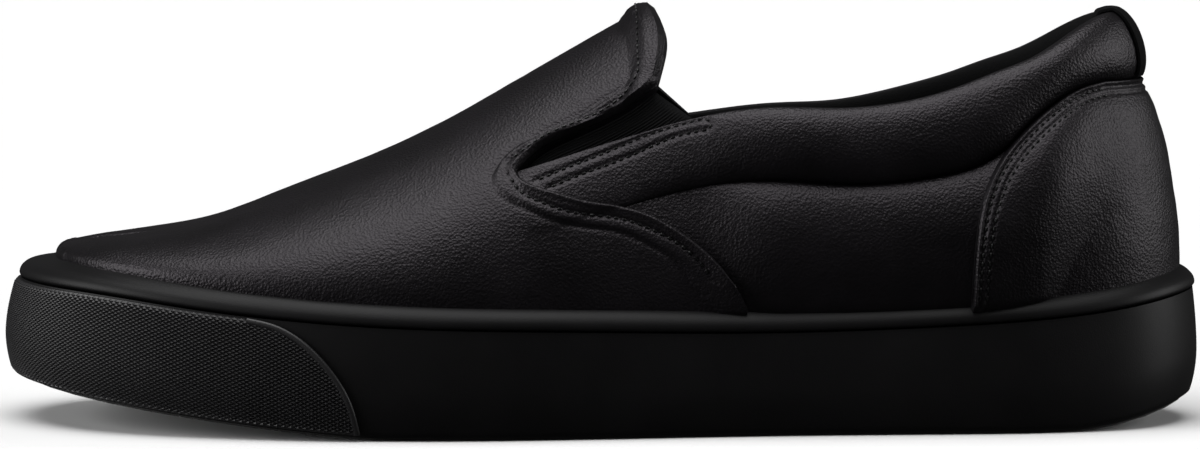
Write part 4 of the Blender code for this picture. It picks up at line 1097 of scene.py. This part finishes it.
def counter_rows():
    """The counter's stitch rows as curves on the quarters' form, inside its edge."""
    station, top = counter_run(200)
    fine, length = foot_arc()
    run = np.interp(angle_at(station / SOLE_LENGTH), fine, length)
    slope = np.stack([np.gradient(run), np.gradient(top)])
    slope /= np.linalg.norm(slope, axis=0)
    rows = []
    for inset, _, _ in COUNTER_ROWS:
        at, height = np.interp(run + slope[1] * inset, length, fine), top - slope[0] * inset
        keep = (height > SIDEWALL_HEIGHT) & (np.gradient(at) > 0)
        for side in (-1, 1):
            angle = side * at[keep]
            climb = climb_at_height(quarter_form, angle, height[keep])
            rows.append((quarter_form(angle, climb), sheet_normal(quarter_form, angle, climb)))
    return rows


def ring_angles(count):
    return np.linspace(-math.pi, math.pi, count, endpoint=False)


def ring_piece(name, profile, count, materials, slot, replaces):
    """A closed ring swept round the foot from a cross-section that is read for all angles at once."""
    points = profile(ring_angles(count))
    size = points.shape[1]
    i, j = np.meshgrid(np.arange(count), np.arange(size), indexing="ij")
    here, beside = i * size + j, i * size + (j + 1) % size
    ahead, ahead_beside = (i + 1) % count * size + j, (i + 1) % count * size + (j + 1) % size
    faces = np.stack([here, beside, ahead_beside, ahead], axis=-1).reshape(-1, 4)
    return piece(name, points.reshape(-1, 3), faces, materials, slot, replaces)


def at_inset(angle, inset, height):
    inset, height = np.broadcast_arrays(inset, height)
    return with_height(inset_outline(angle[:, None] + 0 * inset, inset), height)


def foxing_section(angle):
    """The rubber side: its face leans in over its upper part, and a small radius turns it under."""
    low, high = ground(along_at(angle)), lip(angle)
    foot = low + OUTSOLE_STANDS_PROUD
    under_strip = high - STRIP_HEIGHT - GAP
    steps = spaced(0, 1, 30)
    height = foot[:, None] + (under_strip - foot)[:, None] * steps
    share = (height - low[:, None]) / (high - low)[:, None]
    inset = sidewall_inset(angle[:, None] + 0 * share, share)
    turn = np.clip(1 - (height - foot[:, None]) / FOXING_TURN, 0, 1)
    inset = inset + FOXING_TURN * (1 - np.sqrt(1 - turn**2))
    deep = np.broadcast_to((ledge(angle) - GAP)[:, None], (len(angle), 1))
    shelf = (low + OUTSOLE_THICKNESS + GAP)[:, None]
    toe = np.full_like(deep, FOXING_SKIN - GAP)
    inset = np.concatenate([inset, deep, deep, toe, toe], axis=1)
    height = np.concatenate([height, under_strip[:, None], shelf, shelf, foot[:, None]], axis=1)
    return at_inset(angle, inset, height)


def strip_section(angle):
    """The raised strip, rounded over its top, with its lower edge turned under."""
    low, high = ground(along_at(angle)), lip(angle)
    foot = high - STRIP_HEIGHT
    inner = ledge(angle) - GAP
    face = sidewall_inset(angle, (foot - low) / (high - low)) - STRIP_STANDS_PROUD
    cap = np.minimum(STRIP_HEIGHT * STRIP_CAP_REACH, (inner - face) * STRIP_CAP_MOST)
    bend = np.linspace(0, math.pi / 2, 16)
    inset = face[:, None] + cap[:, None] * (1 - np.cos(bend))
    height = high[:, None] - STRIP_HEIGHT * STRIP_CAP_RISE * (1 - np.sin(bend))
    small = STRIP_HEIGHT * STRIP_TURN
    turn = np.linspace(0, math.pi / 2, 6)[:-1]
    low_inset = face[:, None] + small * (1 - np.sin(turn))
    low_height = foot[:, None] + small * (1 - np.cos(turn))
    ends = np.stack([inner, inner], axis=1)
    inset = np.concatenate([low_inset, inset, ends], axis=1)
    height = np.concatenate([low_height, height, np.stack([high, foot], axis=1)], axis=1)
    reach = np.minimum(inner[:, None] - inset, STRIP_SLOPE_REACH * STRIP_HEIGHT)
    slope = 1 - STRIP_SLOPE * reach / STRIP_HEIGHT
    return at_inset(angle, inset, foot[:, None] + (height - foot[:, None]) * slope)


def foot_arc():
    """Distance along the sole's widest line from the toe."""
    fine = np.linspace(0, math.pi, 1500)
    length = lengths(np.hypot(*np.diff(outline(-fine), axis=0).T))
    return fine, length


def bumper_edge_run():
    """The bumper's rear edge: angles and shares of the sidewall's height, from the strip down."""
    at, height = edge_points(BUMPER_EDGE)
    scale = SOLE_LENGTH / COLLAR_HEIGHT
    length = lengths(np.hypot(np.diff(at) * scale, np.diff(height)))
    run = np.linspace(0, length[-1], 60)
    return angle_at(spline(length, at)(run)), spline(length, height)(run)


def bumper_piece(rubber):
    """The toe bumper: a skin of small raised diamonds with a smooth rim along its rear edge."""
    fine, length = foot_arc()
    edge_angle, edge_share = bumper_edge_run()
    reach = float(np.interp(edge_angle[-1], fine, length))
    half = int(reach / (KNURL_LENGTH / 2))
    column = np.arange(-half, half + 1) * KNURL_LENGTH / 2
    angle = np.sign(column) * np.interp(np.abs(column), length, fine)
    angle[half] = 0.0
    low, high = ground(along_at(angle)), lip(angle)
    front = (high - STRIP_HEIGHT - 2 * GAP - low) / (high - low)
    start = float(edge_angle[0])
    back = np.interp(np.abs(angle), edge_angle, edge_share)
    top = np.where(np.abs(angle) < start, front, back)
    bottom = BUMPER_LOW_EDGE * np.ones_like(top)
    rows = int((lip(0.0) - ground(0.0)) / (KNURL_HEIGHT / 2))
    step = np.arange(rows + 1)
    height = (lip(0.0) - ground(0.0)) * (step / rows)
    # Rows run parallel to the strip, so the lowest ones end on the bumper's lower edge.
    share = front[:, None] - (height[None, ::-1]) / (high - low)[:, None]
    share = np.clip(share, bottom[:, None], np.maximum(top, bottom)[:, None])
    grid_angle = np.broadcast_to(angle[:, None], share.shape)
    i, j = np.meshgrid(np.arange(len(angle)), step, indexing="ij")
    peak = ((i + j) % 2 == 0).astype(float)
    inside = np.minimum(share - bottom[:, None], np.maximum(top[:, None] - share, 0))
    inside = inside * (high - low)[:, None]
    raised = KNURL_RISE * peak * np.clip(inside / KNURL_HEIGHT, 0, 1)
    out = BUMPER_THICKNESS + GAP - KNURL_RISE + raised
    plan, inner = sidewall_point(grid_angle, share, out), sidewall_point(grid_angle, share)
    columns = len(step)
    faces = []
    for a in range(len(angle) - 1):
        for b in range(columns - 1):
            p, s = a * columns + b, (a + 1) * columns + b
            q, r = p + 1, s + 1
            if (a + b) % 2 == 0:
                faces += [(q, s, p), (q, r, s)]
            else:
                faces += [(p, q, r), (p, r, s)]
    points = np.concatenate([plan.reshape(-1, 3), inner.reshape(-1, 3)])
    count = len(points) // 2
    edges = Counter(tuple(sorted((f[k - 1], f[k]))) for f in faces for k in range(3))
    closed = [(a, b, b + count, a + count) for (a, b), n in edges.items() if n == 1]
    back_faces = [(f[2] + count, f[1] + count, f[0] + count) for f in faces]
    every = [tuple(f) + (f[0],) if len(f) == 3 else tuple(f) for f in faces + back_faces + closed]
    faces = np.array(every)
    return piece("toe_bumper_knurl", points, faces, [rubber], "bumper_rubber", ("toe_bumper",), flat=True)


def bumper_rim(rubber):
    """The smooth rounded rim along the bumper's rear edge, on both sides of the toe."""
    edge_angle, edge_share = bumper_edge_run()
    for side, name in ((-1, "outer"), (1, "inner")):
        angle = side * edge_angle
        centre = sidewall_point(angle, edge_share, GAP + BUMPER_THICKNESS * BUMPER_RIM_SINK)
        normal = with_height(outward(angle), np.zeros_like(angle))
        made = tube("toe_bumper_rim_" + name, centre, BUMPER_RIM / 2, rubber, "bumper_rubber", normal)
    return made


def tube(name, centre, radius, material, slot, normal, sides=12):
    """A round bead along a curve, flattened a little against what it lies on."""
    along = np.gradient(centre, axis=0)
    along = unit(along)
    across = np.cross(along, normal)
    across = unit(across)
    up = np.cross(across, along)
    turn = np.linspace(0, TWO_PI, sides, endpoint=False)
    ring = across[:, None] * np.cos(turn)[:, None] + up[:, None] * (np.sin(turn) * BEAD_FLATNESS)[:, None]
    points = (centre[:, None] + ring * radius).reshape(-1, 3)
    count = len(centre)
    faces = [
        (i * sides + j, i * sides + (j + 1) % sides, (i + 1) * sides + (j + 1) % sides, (i + 1) * sides + j)
        for i in range(count - 1)
        for j in range(sides)
    ]
    points = np.concatenate([points, centre[:1], centre[-1:]])
    last = count * sides
    for j in range(sides):
        faces.append((last, j, (j + 1) % sides, last))
        faces.append((last + 1, (count - 1) * sides + j, (count - 1) * sides + (j + 1) % sides, last + 1))
    return piece(name, points, np.array(faces), [material], slot)


def gore_piece(name, side, material):
    """The ribbed elastic in a notch, tucked under the tab above and the quarter below."""
    count = 70
    start, tab_end = NOTCH_POINT + GORE_START, float(tab_end_along(0.0)) - GAP / SOLE_LENGTH
    angle = side * angle_at(np.linspace(start, GORE_END, count))
    tab_along = np.linspace(start, tab_end, count)
    tab_angle = side * angle_at(tab_along)
    edge = climb_at_height(vamp_form, tab_angle, tab_edge_height(tab_along))
    rows = []
    for tuck in (GORE_TUCK / INSTEP_HEIGHT, 0.0):
        at = edge + tuck
        rows.append(vamp_form(tab_angle, at) - sheet_normal(vamp_form, tab_angle, at) * (WALL + GAP))
    for below in GORE_LOW_TUCKS:
        climb = 1 - (1 - CREASE_CLIMB[side](np.abs(angle))) * below
        inner = wall_offsets(angle, climb)[1] - GAP
        rows.append(quarter_form(angle, climb) + sheet_normal(quarter_form, angle, climb) * inner[:, None])
    rows = np.array(rows)
    fine = np.linspace(0, 1, 150)
    lines = [[np.interp(fine, GORE_ROWS, rows[:, c, k]) for k in range(3)] for c in range(count)]
    sheet = np.array(lines).transpose(0, 2, 1)
    around, across = np.gradient(sheet, axis=0), np.gradient(sheet, axis=1)
    normal = np.cross(around, across)
    normal /= np.linalg.norm(normal, axis=-1, keepdims=True) * np.sign(normal[..., 1:2] * side)
    length = np.cumsum(np.linalg.norm(across, axis=-1), axis=1)
    rib = np.cos(length / GORE_RIB_PITCH * TWO_PI) * GORE_RIB
    hem_start = count - 1 - GORE_HEM / (GORE_SPAN * SOLE_LENGTH / count)
    hem = np.clip((np.arange(count)[:, None] - hem_start) / 2, 0, 1)
    lift = rib * (1 - hem) + GORE_RIB * hem
    outside = sheet + normal * lift[..., None]
    inside = sheet - normal * GORE_THICKNESS
    layer_faces = lattice_faces(count, len(fine))
    points = np.concatenate([outside.reshape(-1, 3), inside.reshape(-1, 3)])
    return closed_piece(name, points, layer_faces, [material], "elastic", (name.replace("_ribbed", ""),))


def closed_piece(name, points, skin, materials, slot, replaces):
    """A closed wall from a skin's outer points followed by its inner ones."""
    return piece(name, points, closed_faces(skin, len(points) // 2), materials, slot, replaces)


def strip_edge_angle():
    angle = np.linspace(float(angle_at(0.95)), math.pi, 200)
    half = rim_half_share(angle) * COLLAR_WIDTH / 2
    return float(np.interp(-BACK_STRIP_WIDTH / 2, -half, angle))


def back_strip_piece(material):
    """The webbing that runs from the counter's top up the back of the collar and over its rim."""
    edge = strip_edge_angle()
    angle = np.linspace(edge, TWO_PI - edge, 15)
    signed = np.where(angle > math.pi, angle - TWO_PI, angle)
    path = np.array(BACK_STRIP_PATH, float).T
    at, run = np.arange(len(BACK_STRIP_PATH)), np.linspace(0, len(BACK_STRIP_PATH) - 1, 100)
    rows = []
    for down, which, rise in zip(*(np.interp(run, at, column) for column in path)):
        climb = 1 - (1 - CREASE_CLIMB[1](np.minimum(angle, TWO_PI - angle))) * down
        outer, inner = wall_offsets(signed, climb)
        offset = (outer + GAP) * (1 - which) + (inner - GAP) * which
        normal = sheet_normal(quarter_form, angle, climb)
        rows.append(quarter_form(angle, climb) + normal * offset[:, None] + UP * GAP * rise)
    path = np.array(rows)
    normal = np.cross(np.gradient(path, axis=1), np.gradient(path, axis=0))
    normal = unit(normal)
    normal = normal if normal[0, 7, 0] > 0 else -normal
    outside = path + normal * BACK_STRIP_THICKNESS * STRIP_THINNED
    points = np.concatenate([outside.reshape(-1, 3), path.reshape(-1, 3)])
    skin = lattice_faces(*path.shape[:2])
    return closed_piece("back_strip_webbing", points, skin, [material], "webbing", ("back_strip",))


def insole_piece(material):
    """The footbed, cupped at its edges and a little hollowed under the heel and the ball."""
    angle = np.linspace(0, math.pi, 160)[1:-1]
    across = np.linspace(0, 1, 50)
    inset = ledge(angle) + WALL + GAP
    outer, inner = inset_outline(-angle, ledge(-angle) + WALL + GAP), inset_outline(angle, inset)
    plan = outer[:, None] + (inner - outer)[:, None] * across[:, None]
    low = np.broadcast_to((footbed(along_at(angle)) + GAP)[:, None], plan.shape[:2])
    out = np.abs(2 * across - 1)
    high = low + INSOLE_THICKNESS + INSOLE_CUP * out**4 - INSOLE_HOLLOW * (1 - out) ** 2
    points = np.concatenate([with_height(plan, high).reshape(-1, 3), with_height(plan, low).reshape(-1, 3)])
    skin = lattice_faces(*low.shape)
    return closed_piece("insole_footbed", points, skin, [material], "lining", ("insole",))


def shader_of(name, colour, roughness):
    """A new material with its shader, its node tree and its coordinates in the shoe's own places."""
    material = bpy.data.materials.new(name)
    material.use_nodes = True
    tree = material.node_tree
    shader = tree.nodes["Principled BSDF"]
    shader.inputs["Base Color"].default_value = (*colour, 1)
    shader.inputs["Roughness"].default_value = roughness
    where = tree.nodes.new("ShaderNodeTexCoord").outputs["Object"]
    return material, tree, shader, where


def add(tree, kind, inputs=(), **settings):
    node = tree.nodes.new(kind)
    for name, value in settings.items():
        setattr(node, name, value)
    for name, value in dict(inputs).items():
        if isinstance(value, bpy.types.NodeSocket):
            tree.links.new(value, node.inputs[name])
        else:
            node.inputs[name].default_value = value
    return node


def grade(tree, fac, stops):
    ramp = add(tree, "ShaderNodeValToRGB", {"Fac": fac})
    for i, (at, colour) in enumerate(stops):
        stop = ramp.color_ramp.elements[i] if i < 2 else ramp.color_ramp.elements.new(at)
        stop.position = at
        stop.color = (*colour, 1)
    return ramp.outputs["Color"]


def bump(tree, shader, layers):
    """Stacks bumps, each a height and a distance in metres."""
    normal = None
    for height, distance in layers:
        inputs = {"Height": height, "Distance": distance, "Strength": 1.0}
        if normal:
            inputs["Normal"] = normal
        normal = add(tree, "ShaderNodeBump", inputs).outputs["Normal"]
    tree.links.new(normal, shader.inputs["Normal"])


def cloud(tree, where, scale, detail, **more):
    inputs = {"Vector": where, "Scale": scale, "Detail": detail, **more}
    return add(tree, "ShaderNodeTexNoise", inputs).outputs["Fac"]


def vary_gloss(tree, shader, fac, low, high):
    rough = add(tree, "ShaderNodeMapRange", {"Value": fac, "To Min": low, "To Max": high})
    tree.links.new(rough.outputs["Result"], shader.inputs["Roughness"])


def vary_colour(tree, shader, fac, dark, light):
    """Colour from one stop to another, each a place and a colour."""
    tree.links.new(grade(tree, fac, [dark, light]), shader.inputs["Base Color"])


def times(colour, factor):
    return tuple(factor * c for c in colour)


def leather(name, grain, wrinkle, gloss):
    """Black leather: fine pebbled grain, faint long wrinkles and a soft uneven gloss."""
    material, tree, shader, where = shader_of(name, LEATHER_COLOUR, gloss)
    cell_inputs = {"Vector": where, "Scale": 1 / grain, "Smoothness": 0.35}
    cells = add(tree, "ShaderNodeTexVoronoi", cell_inputs, feature="SMOOTH_F1")
    fine = cloud(tree, where, 2.2 / grain, 3.0)
    broad = cloud(tree, where, LEATHER_BLOTCHES, 3.0)
    folds = cloud(tree, where, 1 / wrinkle, 4.0, Distortion=0.6)
    pebbles = cells.outputs["Distance"]
    bump(tree, shader, [(folds, 0.05 * MM), (pebbles, GRAIN_DEPTH), (fine, GRAIN_DEPTH * 0.6)])
    vary_gloss(tree, shader, broad, gloss - 0.05, gloss + 0.07)
    vary_colour(tree, shader, broad, (0.35, LEATHER_COLOUR), (0.7, LEATHER_WORN))
    shader.inputs["Specular IOR Level"].default_value = LEATHER_SPECULAR
    shader.inputs["Specular Tint"].default_value = (*SPECULAR_TINT, 1)
    return material


def rubber(name, colour, gloss, specular):
    """Matte black rubber with a fine tooth and a trace of dust."""
    material, tree, shader, where = shader_of(name, colour, gloss)
    fine = cloud(tree, where, RUBBER_TOOTH, 2.0)
    broad = cloud(tree, where, RUBBER_DUST, 5.0)
    bump(tree, shader, [(broad, 0.10 * MM), (fine, 0.03 * MM)])
    vary_colour(tree, shader, broad, (0.4, colour), (0.75, times(colour, 1.5)))
    vary_gloss(tree, shader, broad, gloss - 0.06, gloss + 0.06)
    shader.inputs["Specular IOR Level"].default_value = specular
    return material


def woven(name, colour, pitch, depth):
    """A dense woven or brushed textile."""
    material, tree, shader, where = shader_of(name, colour, 0.9)
    threads = add(tree, "ShaderNodeTexVoronoi", {"Vector": where, "Scale": 1 / pitch})
    fuzz = cloud(tree, where, 1.6 / pitch, 4.0)
    bump(tree, shader, [(threads.outputs["Distance"], depth), (fuzz, depth)])
    vary_colour(tree, shader, fuzz, (0.35, colour), (0.75, times(colour, 2.0)))
    shader.inputs["Specular IOR Level"].default_value = 0.04
    return material


def thread_of(name, colour):
    """Waxed black thread: a fine twist and a soft shine."""
    material, tree, shader, where = shader_of(name, colour, 0.35)
    twist = cloud(tree, where, THREAD_TWIST, 2.0)
    bump(tree, shader, [(twist, 0.05 * MM)])
    vary_colour(tree, shader, twist, (0.35, colour), (0.7, times(colour, 2.0)))
    shader.inputs["Specular IOR Level"].default_value = 0.18
    return material


def studio():
    """A plain pale floor, soft light from above and a camera at the photograph's angle."""
    floor = bpy.data.meshes.new("floor")
    corners = [(x * FLOOR_REACH, y * FLOOR_REACH, 0) for x, y in ((-1, -1), (1, -1), (1, 1), (-1, 1))]
    floor.from_pydata(corners, [], [(0, 1, 2, 3)])
    floor.materials.append(shader_of("floor paint", FLOOR_COLOUR, 0.8)[0])
    made = bpy.data.objects.new("floor", floor)
    bpy.context.scene.collection.objects.link(made)
    made.visible_glossy = False

    bpy.context.scene.view_settings.view_transform = "Standard"
    world = bpy.data.worlds.new("studio")
    world.use_nodes = True
    world.node_tree.nodes["Background"].inputs["Color"].default_value = (1, 1, 1, 1)
    world.node_tree.nodes["Background"].inputs["Strength"].default_value = WORLD_STRENGTH
    bpy.context.scene.world = world

    for name, towards, width, strength in SOFTBOXES:
        light = bpy.data.lights.new(name, "SUN")
        light.angle = math.radians(width)
        light.energy = strength
        lamp = bpy.data.objects.new(name, light)
        lamp.rotation_euler = Vector(towards).to_track_quat("Z", "Y").to_euler()
        bpy.context.scene.collection.objects.link(lamp)

    camera = bpy.data.objects.new("camera", bpy.data.cameras.new("camera"))
    camera.location = CAMERA_PLACE
    camera.data.sensor_width = SENSOR
    camera.data.lens = SENSOR * CAMERA_DISTANCE / FRAME_WIDTH
    tilt = math.atan2(CAMERA_PLACE[2] - CAMERA_AIM_HEIGHT, -CAMERA_PLACE[1])
    camera.rotation_euler = (math.pi / 2 - tilt, 0, 0)
    bpy.context.scene.collection.objects.link(camera)
    bpy.context.scene.camera = camera


def build():
    vamp_hide = leather("vamp leather", 0.6 * MM, 9 * MM, 0.40)
    quarter_hide = leather("quarter leather", 0.6 * MM, 7 * MM, 0.40)
    counter_hide = leather("counter leather", 0.6 * MM, 4 * MM, 0.42)
    lining = woven("lining", (0.0025, 0.0025, 0.0026), 0.35 * MM, 0.06 * MM)
    elastic = woven("elastic", (0.0045, 0.0045, 0.0047), 0.4 * MM, 0.05 * MM)
    webbing = woven("webbing", (0.0020, 0.0020, 0.0021), 0.5 * MM, 0.1 * MM)
    thread = thread_of("thread", (0.002, 0.002, 0.0021))
    side_rubber = rubber("side rubber", (0.0016, 0.0015, 0.0017), 0.50, 0.12)
    bumper_rubber = rubber("bumper rubber", (0.0035, 0.0033, 0.0038), 0.45, 0.32)
    tread_rubber = rubber("tread rubber", (0.008, 0.008, 0.008), 0.7, 0.3)

    vamp = dress_vamp(vamp_grid())
    piece("vamp_leather", *vamp.solid(), [vamp_hide], "vamp_leather", ("vamp",))
    rows = [seam_on(seam, side) for seam in VAMP_SEAMS if seam.stitched for side in (-1, 1)]
    stitches("vamp_stitches", vamp, rows, thread, "vamp_leather")

    wall = dress_wall(upper_wall())
    points, faces = wall.solid()
    count = len(wall.faces)
    inner_side = np.zeros(len(faces), int)
    inner_side[count : 2 * count] = 1
    piece("upper_wall", points, faces, [quarter_hide, lining], "leather", ("upper",), inner_side)

    rows = [seam_on(seam, side) for seam in WALL_SEAMS for side in (-1, 1)]
    stitches("quarter_stitches", wall, rows, thread, "leather")

    counter = dress_counter(counter_grid())
    piece("heel_counter_leather", *counter.solid(), [counter_hide], "counter_leather", ("heel_counter",))
    stitches("counter_stitches", counter, counter_rows(), thread, "counter_leather")

    gore_piece("gore_lateral_ribbed", -1, elastic)
    gore_piece("gore_medial_ribbed", 1, elastic)
    back_strip_piece(webbing)
    insole_piece(lining)
    ring_piece("foxing_side", foxing_section, 500, [side_rubber], "foxing_rubber", ("foxing",))
    ring_piece("foxing_top_strip", strip_section, 500, [side_rubber], "strip_rubber", ("foxing_strip",))
    bumper_piece(bumper_rubber)
    bumper_rim(bumper_rubber)
    for name, material in (("midsole", tread_rubber), ("outsole", tread_rubber)):
        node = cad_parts[name]
        for slot in node.material_slots:
            slot.material = material


build()
studio()
